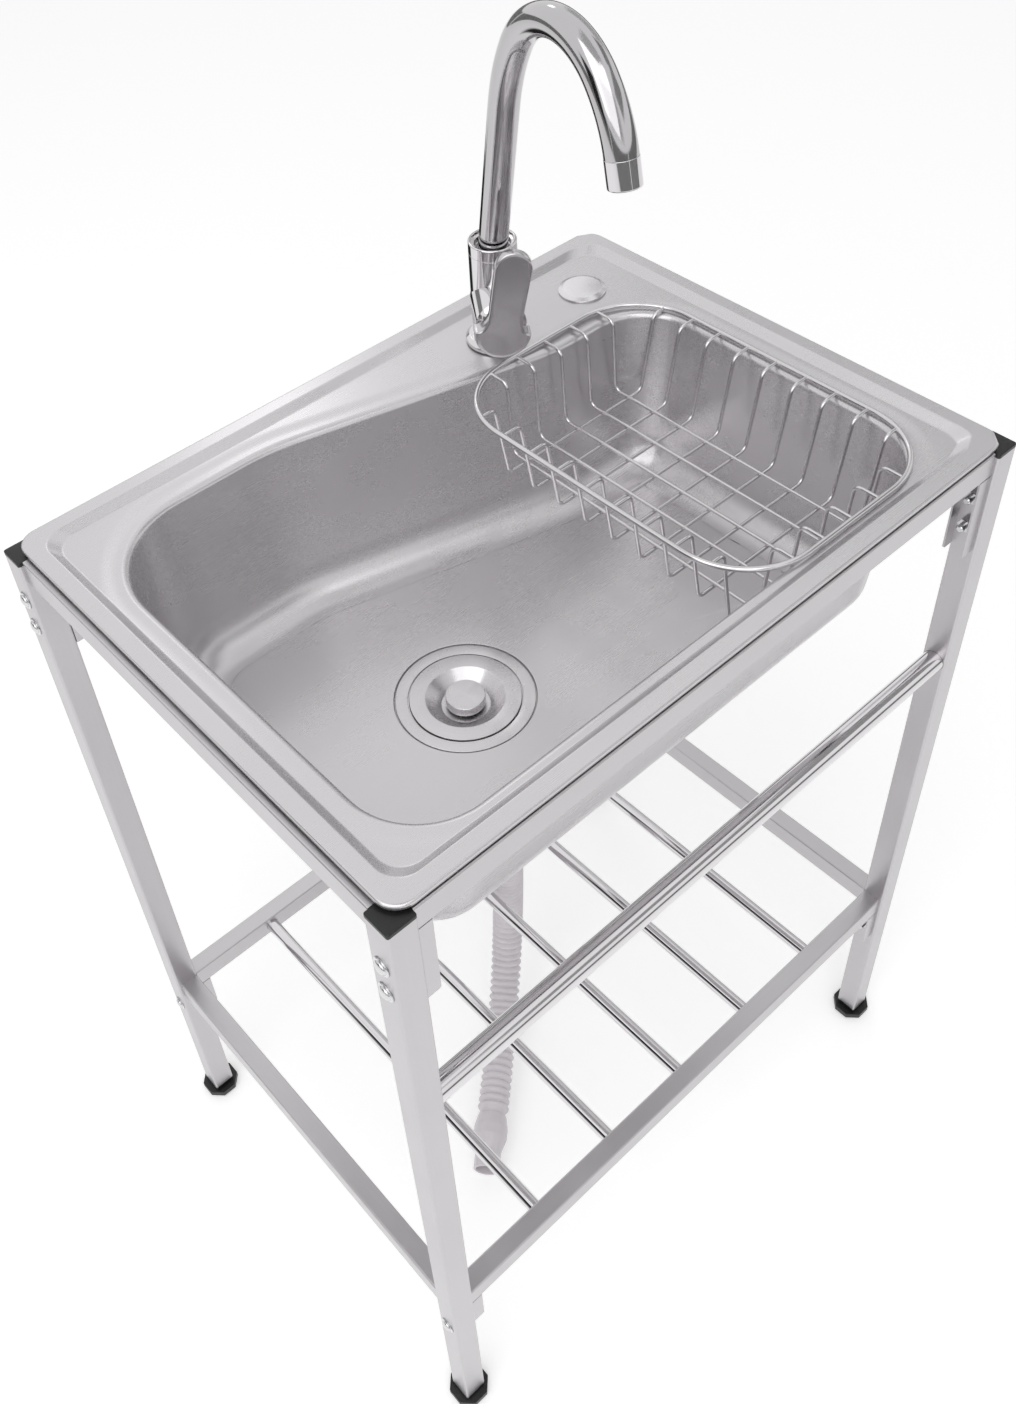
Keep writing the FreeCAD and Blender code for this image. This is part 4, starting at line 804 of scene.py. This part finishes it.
def make_tap():
    """Foot ring, body with its side stub, collar, spout, outlet ring and lever.

    The spout is a tube along its line, the lever a surface of its own, and the rest are turned profiles."""
    axis = (*TAP, 0)
    bore, wide = 14.3, 25.5
    profile = rounded(
        [(bore, FOOT_LOW), (wide, FOOT_LOW), (wide, BODY_LOW - 3), (wide - 3, BODY_LOW), (bore, BODY_LOW),
         (bore, FOOT_LOW)],
        [0.4, 1.2, 1.0, 0], steps=6, hold=0.2)
    put_piece("tap_foot", *lathe(profile, axis), ["tap_foot_ring"], "base", "bright_chrome")

    bore = 14
    profile = rounded(
        [(bore, BODY_LOW), (BODY_RADIUS, BODY_LOW), (BODY_RADIUS, BODY_TOP), (bore, BODY_TOP),
         (bore, BODY_TOP - 20)],
        [0.8, 0.3, 0.3], steps=6, hold=0.3)
    body = lathe(profile, axis)
    start, out = lever_axes()[:2]
    side_end, spindle_hole = 43.6, 0.27
    ball = np.linspace(math.asin(STUB_RADIUS / PIVOT_BALL), spindle_hole, 14)
    cap = np.stack([PIVOT_BALL * np.sin(ball), PIVOT_REACH + PIVOT_BALL * np.cos(ball)], -1)
    stub = lathe(np.concatenate([[(STUB_RADIUS, 0), (STUB_RADIUS, side_end)], cap]), start, out)
    put_piece("tap_turned_body", *joined([body, stub]), ["tap_body"], "base", "bright_chrome", sharp=30)

    z, bore = BODY_TOP, 13.4
    profile = rounded(
        [(bore, z), (BODY_RADIUS, z), (BODY_RADIUS, z + 10), (17.4, z + 10), (16.8, z + 7.4), (14.8, z + 7.0),
         (14.2, z + 3.0), (bore, z + 3.0), (bore, z)],
        [0.2, 1.2, 0.8, 0.5, 0.6, 0.4, 0.3], steps=6, hold=0.2)
    put_piece("spout_collar", *lathe(profile, axis), ["tap_collar"], "base", "bright_chrome")

    line, way, across = spout_line()
    in_bush = 11.2
    radius = np.where(line[:, 2] < BODY_TOP + 0.5, in_bush, SPOUT_RADIUS)
    swan_neck = tube(line, radius, across, sides=48)
    # the spout takes the darkened chrome, painted shade for its darker reflections
    put_piece("swan_neck", *swan_neck, ["tap_spout"], "spout", "bright_chrome", "spout_chrome")

    ring, deep = 11.9, 20
    profile = rounded(
        [(OUTLET_BORE, 14), (OUTLET_BORE, 0), (ring, 0), (ring, deep), (10.2, deep), (OUTLET_BORE, 14)],
        [0, 0.4, 1.0, 0.4], steps=5, hold=0.2)
    outlet = lathe(profile, line[-1], way, 72)
    screen = lathe([(0, 14.2), (OUTLET_BORE, 14.2), (OUTLET_BORE, 15.0), (0, 15.0)], line[-1], way, 72)
    put_piece("outlet_ring", *joined([outlet, screen]), ["spout_aerator"], "spout", "bright_chrome")

    spade = lever_surface()
    put_piece("lever_spade", *spade, ["tap_lever"], "lever", "bright_chrome", "lever_steel", sharp=40)


def make_hole_cover():
    """Cover of the spare hole, turned: stem, bevelled edge and a top that is part of a ball.

    For a cap of radius r and height h the ball's radius is (r^2 + h^2) / 2h."""
    low, stem, brim = DECK - SHEET - 24, 5, 20.5
    flat, rise = 16.5, 1.2
    ball = (flat ** 2 + rise ** 2) / (2 * rise)
    arc = np.linspace(math.asin(flat / ball), 0, 16)
    dome = np.stack([ball * np.sin(arc), DECK + 4.6 - ball * (1 - np.cos(arc))], -1)
    edge = [(0, low), (stem, low), (stem, DECK), (20.0, DECK), (20.0, DECK + 0.5), (brim, DECK + 0.7),
            (brim, DECK + 1.6), (20.2, DECK + 1.9), (17.2, DECK + 2.8)]
    cover = lathe(np.concatenate([edge, dome]), (*COVER, 0))
    put_piece("spare_hole_cover", *cover, ["hole_cover"], "base", "bright_chrome", "cover_steel")


# Wire basket

def rim_reach(half, other_half, place):
    """Distance from the basket's middle to the inner side of its rim wire, at a place across it."""
    past = np.maximum(np.abs(place) - (other_half - RIM_WIRE - BASKET_CORNER), 0)
    inner = BASKET_CORNER - RIM_WIRE
    return half - 2 * RIM_WIRE - (inner - np.sqrt(inner ** 2 - past ** 2))


def make_basket(sizes):
    """Rim wire, nine cross wires and five long wires: round bars along a line that is bent down the walls and
    over the floor."""
    x, y = BASKET
    hx, hy = BASKET_HALF - RIM_WIRE
    corners = [(x - hx, y - hy), (x + hx, y - hy), (x + hx, y + hy), (x - hx, y + hy)]
    loop = outline(corners, [BASKET_CORNER] * 4, 0, count=240)[0]
    path = np.concatenate([loop, np.full((len(loop), 1), BASKET_LEVEL)], -1)
    rim = tube(path, RIM_WIRE, UP, 16, closed=True)
    put_piece("basket_rim_wire", *rim, ["basket_rim"], "wire_basket", "basket_wire", "wire_steel")
    wide, deep = BASKET_HALF
    into_rim = 1.0
    for name, node_name, half, other, ledge, slope, count, end, rise in (
        ("basket_cross_wire_set", "basket_cross_wires", wide, deep, 20.0, 13.0, 9, 41.5, 0.0),
        ("basket_long_wire_set", "basket_long_wires", deep, wide, 23.5, 5.0, 5, 50.0, 3.0),
    ):
        run, floor = half - ledge, half - ledge - slope
        low = BASKET_LEVEL - BASKET_DEPTH + rise
        wires = []
        for place in np.linspace(-(other - end), other - end, count):
            reach = rim_reach(half, other, place) + into_rim
            bend = rounded([(-reach, BASKET_LEVEL), (-run, BASKET_LEVEL), (-floor, low), (floor, low),
                            (run, BASKET_LEVEL), (reach, BASKET_LEVEL)], [BASKET_BEND] * 4, steps=7, hold=0)
            u, z = bend[:, :1], bend[:, 1:]
            v = np.full_like(u, place)
            if half < other:
                line = np.concatenate([x + u, y + v, z], -1)
                across = (0, 1, 0)
            else:
                line = np.concatenate([x + v, y + u, z], -1)
                across = (1, 0, 0)
            wires.append(tube(line, BASKET_WIRE, across, sizes.wire_sides))
        put_piece(name, *joined(wires), [node_name], "wire_basket", "basket_wire", "wire_steel")


# Stand

def square_rows(rows, cx, cy):
    """Closed piece of rounded squares: each row gives half width, corner radius and height."""
    around = 96
    parts = []
    for half, corner, z in rows:
        corners = [(-half, -half), (half, -half), (half, half), (-half, half)]
        loop = outline(corners, [corner] * 4, 0, count=around)[0]
        parts.append(np.concatenate([loop + (cx, cy), np.full((around, 1), z)], -1))
    return np.concatenate(parts), grid_faces(len(rows), around)


def make_caps():
    """Leg caps: a plug in the tube and a square head with rounded edges; the back right one is lower."""
    half, corner, edge, plug = 11.0, 1.6, 0.9, LEG_TOP - 15
    closed_end = (0.02, 0.01)
    t = np.linspace(0, np.pi / 2, 7)
    caps = []
    for sx, sy, top in ((-1, -1, RAIL_TOP), (-1, 1, RAIL_TOP), (1, -1, RAIL_TOP), (1, 1, LEG_TOP + 1.2)):
        crown = [(half - edge * (1 - math.cos(k)), corner, top - edge * (1 - math.sin(k))) for k in t]
        rows = [(*closed_end, plug), (9.4, 1.0, plug), (9.6, 1.0, plug + 1), (9.6, 1.0, LEG_TOP),
                (half, corner, LEG_TOP), *crown, (6.0, 1.2, top + 0.2), (*closed_end, top + 0.3)]
        caps.append(square_rows(rows, sx * LEG_X, sy * LEG_Y))
    put_piece("leg_cap_set", *joined(caps), ["leg_caps"], "base", "black_plastic", sharp=40)


def make_rods():
    """Shelf rods at even steps between the shelf's side rails, and the towel rail: straight round bars."""
    start, between, reach = -278.0, 556.0 / 6, 207.5
    rods = []
    for k in range(1, 6):
        x = start + between * k
        rods.append(tube([(x, -reach, ROD_LEVEL), (x, reach, ROD_LEVEL)], ROD_RADIUS, UP, 48))
    put_piece("shelf_rod_set", *joined(rods), ["shelf_rods"], "base", "bright_chrome")
    reach = 286.0
    rail = tube([(-reach, -LEG_Y, TOWEL_LEVEL), (reach, -LEG_Y, TOWEL_LEVEL)], TOWEL_RADIUS, UP, 64)
    put_piece("towel_bar", *rail, ["towel_rail"], "base", "bright_chrome")


def make_bolts():
    """Bolts through the legs: shank, flange and rounded head, turned about the bolt's axis."""
    shank, flange, outer_face = 3.0, 7.2, 300.0
    a = np.linspace(np.pi / 2, 0, 11)
    crown = np.stack([5.2 * np.sin(a), 1.3 + 2.3 * np.cos(a)], -1)
    head = np.concatenate([[(0, -34.5), (2.2, -34.5), (shank, -33.6), (shank, 0), (7.0, 0), (flange, 0.25),
                            (flange, 0.75), (6.9, 1.1), (5.5, 1.15)], crown])
    for name, node_name, heights in (
        ("top_bolt_set", "top_bolts", (RAIL_TOP - 43.0, RAIL_TOP - 71.0)),
        ("shelf_bolt_set", "shelf_bolts", (SHELF_TOP - 43.0,)),
    ):
        bolts = [lathe(head, (sx * outer_face, sy * LEG_Y, z), (sx, 0, 0), 40)
                 for z in heights for sx in (-1, 1) for sy in (-1, 1)]
        put_piece(name, *joined(bolts), [node_name], "base", "zinc_steel")


# Stage

def make_camera():
    """Camera at the photograph's angle: turned about the vertical, tilted down and rolled."""
    az, el, roll = (math.radians(v) for v in (CAMERA_TURN, CAMERA_TILT, CAMERA_ROLL))
    right = np.array([math.cos(az), math.sin(az), 0])
    back = np.array([math.sin(az) * math.cos(el), -math.cos(az) * math.cos(el), math.sin(el)])
    up = np.cross(back, right)
    rolled_right = math.cos(roll) * right + math.sin(roll) * up
    rolled_up = -math.sin(roll) * right + math.cos(roll) * up
    data = bpy.data.cameras.new("photo_camera")
    data.sensor_width = SENSOR
    data.lens = FOCAL_LENGTH * SENSOR / PICTURE_HEIGHT
    data.shift_x = (PICTURE_WIDTH / 2 - VIEW_MIDDLE[0]) / PICTURE_HEIGHT
    data.shift_y = -(PICTURE_HEIGHT / 2 - VIEW_MIDDLE[1]) / PICTURE_HEIGHT
    bpy.context.scene.camera = add_object("photo_camera", data, [rolled_right, rolled_up, back, CAMERA_PLACE])


def white_to_rays(tree, strength):
    """Strength of 1 for camera, glossy and transmission rays, and the given one for the rest."""
    path = tree.nodes.new("ShaderNodeLightPath").outputs
    clear = maths(tree, "ADD", path["Is Glossy Ray"], path["Is Transmission Ray"])
    seen = maths(tree, "ADD", path["Is Camera Ray"], clear, clamp=True)
    return maths(tree, "ADD", maths(tree, "MULTIPLY", seen, 1 - strength), strength)


def matt_material(name, shade, rough, **values):
    """Grey material without shine."""
    grey = (shade, shade, shade, 1)
    return new_material(name, Base_Color=grey, Roughness=rough, Specular_IOR_Level=0.0, **values)


def plane(name, centre, normal, width, height):
    """Flat card facing along its normal: a two by two grid of points in its own axes, then placed."""
    n = unit(normal)
    u = unit(np.cross((0, 0, 1), n)) if abs(n[2]) < 0.99 else np.array([1.0, 0, 0])
    corner = np.array([[-1, -1, 0], [1, -1, 0], [-1, 1, 0], [1, 1, 0]]) * (width / 2, height / 2, 0)
    mesh = bpy.data.meshes.new(name)
    mesh.from_pydata(corner.tolist(), [], [(0, 1, 3, 2)])
    obj = add_object(name, mesh, [u, np.cross(n, u), n, centre])
    return obj


def horizon_band():
    """Upright ring round the stage: two circles of points, one above the other."""
    radius, low, high, around = 5.0, 0.05, 1.3, 72
    a = np.linspace(0, 2 * np.pi, around, endpoint=False)
    ring = np.stack([radius * np.cos(a), radius * np.sin(a), np.zeros_like(a)], -1)
    points = np.concatenate([ring + (0, 0, low), ring + (0, 0, high)])
    mesh = bpy.data.meshes.new("horizon_band")
    mesh.from_pydata(points.tolist(), [], grid_faces(2, around).tolist())
    band = add_object("horizon_band", mesh)
    return band


def soft_card(name, shade, soft):
    """Matt card that fades out towards its edges, over the given share of its width."""
    tree, shader = matt_material(name, shade, 1.0)
    place = tree.nodes.new("ShaderNodeSeparateXYZ")
    tree.links.new(tree.nodes.new("ShaderNodeTexCoord").outputs["Generated"], place.inputs[0])
    away = [maths(tree, "ABSOLUTE", maths(tree, "SUBTRACT", place.outputs[k], 0.5)) for k in (0, 1)]
    inside = maths(tree, "SUBTRACT", 0.5, maths(tree, "MAXIMUM", *away))
    mix = tree.nodes.new("ShaderNodeMixShader")
    tree.links.new(maths(tree, "MULTIPLY", inside, 1 / soft, clamp=True), mix.inputs["Fac"])
    tree.links.new(tree.nodes.new("ShaderNodeBsdfTransparent").outputs[0], mix.inputs[1])
    tree.links.new(shader.outputs[0], mix.inputs[2])
    tree.links.new(mix.outputs[0], tree.nodes["Material Output"].inputs["Surface"])


def make_surroundings():
    """White sky, and a pale floor that glows a little where it is seen."""
    world = bpy.data.worlds.new("studio")
    bpy.context.scene.world = world
    world.use_nodes = True
    sky = world.node_tree.nodes["Background"]
    sky.inputs["Color"].default_value = (1, 1, 1, 1)
    world.node_tree.links.new(white_to_rays(world.node_tree, SKY_LIGHT), sky.inputs["Strength"])

    floor = plane("floor", (0, 0, -0.0005), (0, 0, 1), 14, 14)
    tree, shader = matt_material("pale_floor", 0.96, 0.9, Emission_Color=(1, 1, 1, 1))
    glow = maths(tree, "MULTIPLY", white_to_rays(tree, 0.0), FLOOR_GLOW)
    tree.links.new(glow, shader.inputs["Emission Strength"])
    floor.data.materials.append(bpy.data.materials["pale_floor"])


def make_cards():
    """Dark and grey cards round the object, which only show in the metal."""
    for name, shade, soft in (
        ("dark_card", 0.03, 0.12), ("mid_card", 0.45, 0.15), ("grey_card", 0.80, 0.2),
        ("horizon_grey", 0.34, 0.001),
    ):
        soft_card(name, shade, soft)
    cards = [(plane(*spec), shade) for shade, *spec in (
        ("mid_card", "card_front_right", (1.35, -1.75, 2.45), (-1.35, 1.75, -1.7), 2.4, 1.1),
        ("grey_card", "card_back_right", (3.0, 1.2, 2.45), (-3.0, -1.2, -1.7), 2.6, 2.2),
        ("dark_card", "card_left", (-2.6, 0.9, 1.5), (1, -0.3, -0.3), 1.2, 1.6),
        ("grey_card", "card_above", (-0.2, -0.3, 3.6), (0, 0, -1), 2.0, 2.0),
        ("dark_card", "card_behind", (0.45, 1.6, 0.002), (0, 0, 1), 1.6, 1.3),
        ("mid_card", "card_right", (2.1, -0.6, 2.9), (-2.1, 0.6, -2.1), 1.6, 1.2),
        ("grey_card", "card_front_left", (-2.0, -2.3, 2.7), (2.1, 2.4, -1.7), 4.6, 2.6),
    )]
    cards.append((horizon_band(), "horizon_grey"))
    for card, shade in cards:
        card.data.materials.append(bpy.data.materials[shade])
        card.visible_camera = False
        card.visible_diffuse = False
        card.visible_shadow = False


def make_lamps():
    """Soft square lamps, each turned towards the object."""
    for name, place, power, size in (
        ("key_lamp", (-1.6, -1.0, 2.8), 38.0, 3.2),
        ("back_lamp", (1.06, 2.22, 2.55), 1.0, 0.35),
    ):
        data = bpy.data.lights.new(name, "AREA")
        data.energy = power
        data.size = size
        back = unit(np.array(place) - LAMP_AIM)
        right = unit(np.cross((0, 0, 1), back))
        add_object(name, data, [right, np.cross(back, right), back, place])


# Add-on

class SINK_OT_camera(bpy.types.Operator):
    """Set the camera at the photograph's angle"""
    bl_idname = "sink.camera"
    bl_label = "Camera"

    def execute(self, context):
        make_camera()
        return {"FINISHED"}


class SINK_OT_finishes(bpy.types.Operator):
    """Make every finish and give it to the CAD nodes that show"""
    bl_idname = "sink.finishes"
    bl_label = "Finishes"

    def execute(self, context):
        make_finishes(context.scene.sink_colours)
        finish_nodes()
        return {"FINISHED"}


class SINK_OT_hose(bpy.types.Operator):
    """Make the corrugated waste hose and its end sleeve"""
    bl_idname = "sink.hose"
    bl_label = "Waste hose"

    def execute(self, context):
        make_hose(context.scene.sink_sizes)
        return {"FINISHED"}


class SINK_OT_bowl(bpy.types.Operator):
    """Make the pressed sink"""
    bl_idname = "sink.bowl"
    bl_label = "Pressed sink"

    def execute(self, context):
        make_bowl(context.scene.sink_sizes)
        return {"FINISHED"}


class SINK_OT_drain(bpy.types.Operator):
    """Make the drain cup, strainer and knob"""
    bl_idname = "sink.drain"
    bl_label = "Drain"

    def execute(self, context):
        make_drain()
        return {"FINISHED"}


class SINK_OT_tap(bpy.types.Operator):
    """Make the tap and the cover of the spare hole"""
    bl_idname = "sink.tap"
    bl_label = "Tap"

    def execute(self, context):
        make_tap()
        make_hole_cover()
        return {"FINISHED"}


class SINK_OT_basket(bpy.types.Operator):
    """Make the wire basket"""
    bl_idname = "sink.basket"
    bl_label = "Wire basket"

    def execute(self, context):
        make_basket(context.scene.sink_sizes)
        return {"FINISHED"}


class SINK_OT_stand(bpy.types.Operator):
    """Make the leg caps, rods, towel rail and bolts"""
    bl_idname = "sink.stand"
    bl_label = "Stand fittings"

    def execute(self, context):
        make_caps()
        make_rods()
        make_bolts()
        return {"FINISHED"}


class SINK_OT_stage(bpy.types.Operator):
    """Make the floor, surroundings, cards and lamps"""
    bl_idname = "sink.stage"
    bl_label = "Stage"

    def execute(self, context):
        context.scene.view_settings.view_transform = "Standard"
        make_surroundings()
        make_cards()
        make_lamps()
        return {"FINISHED"}


OPERATORS = (
    SINK_OT_camera, SINK_OT_finishes, SINK_OT_hose, SINK_OT_bowl, SINK_OT_drain, SINK_OT_tap, SINK_OT_basket,
    SINK_OT_stand, SINK_OT_stage,
)


class SINK_PT_panel(bpy.types.Panel):
    """Steps and settings of the freestanding sink"""
    bl_label = "Freestanding sink"
    bl_idname = "SINK_PT_panel"
    bl_space_type = "VIEW_3D"
    bl_region_type = "UI"
    bl_category = "Sink"

    def draw(self, context):
        for settings in (context.scene.sink_sizes, context.scene.sink_colours):
            for key in settings.__annotations__:
                self.layout.prop(settings, key)
        for operator in OPERATORS:
            self.layout.operator(operator.bl_idname)


def register():
    """Make the settings, steps and panel known."""
    for cls in (SinkSizes, SinkColours, *OPERATORS, SINK_PT_panel):
        bpy.utils.register_class(cls)
    bpy.types.Scene.sink_sizes = PointerProperty(type=SinkSizes)
    bpy.types.Scene.sink_colours = PointerProperty(type=SinkColours)


def unregister():
    """Take the settings, steps and panel away again."""
    del bpy.types.Scene.sink_colours
    del bpy.types.Scene.sink_sizes
    for cls in reversed((SinkSizes, SinkColours, *OPERATORS, SINK_PT_panel)):
        bpy.utils.unregister_class(cls)


def main():
    """Run every step in order."""
    register()
    bpy.ops.sink.camera()
    bpy.ops.sink.finishes()
    bpy.ops.sink.hose()
    bpy.ops.sink.bowl()
    bpy.ops.sink.drain()
    bpy.ops.sink.tap()
    bpy.ops.sink.basket()
    bpy.ops.sink.stand()
    bpy.ops.sink.stage()


if __name__ == "__main__":
    main()
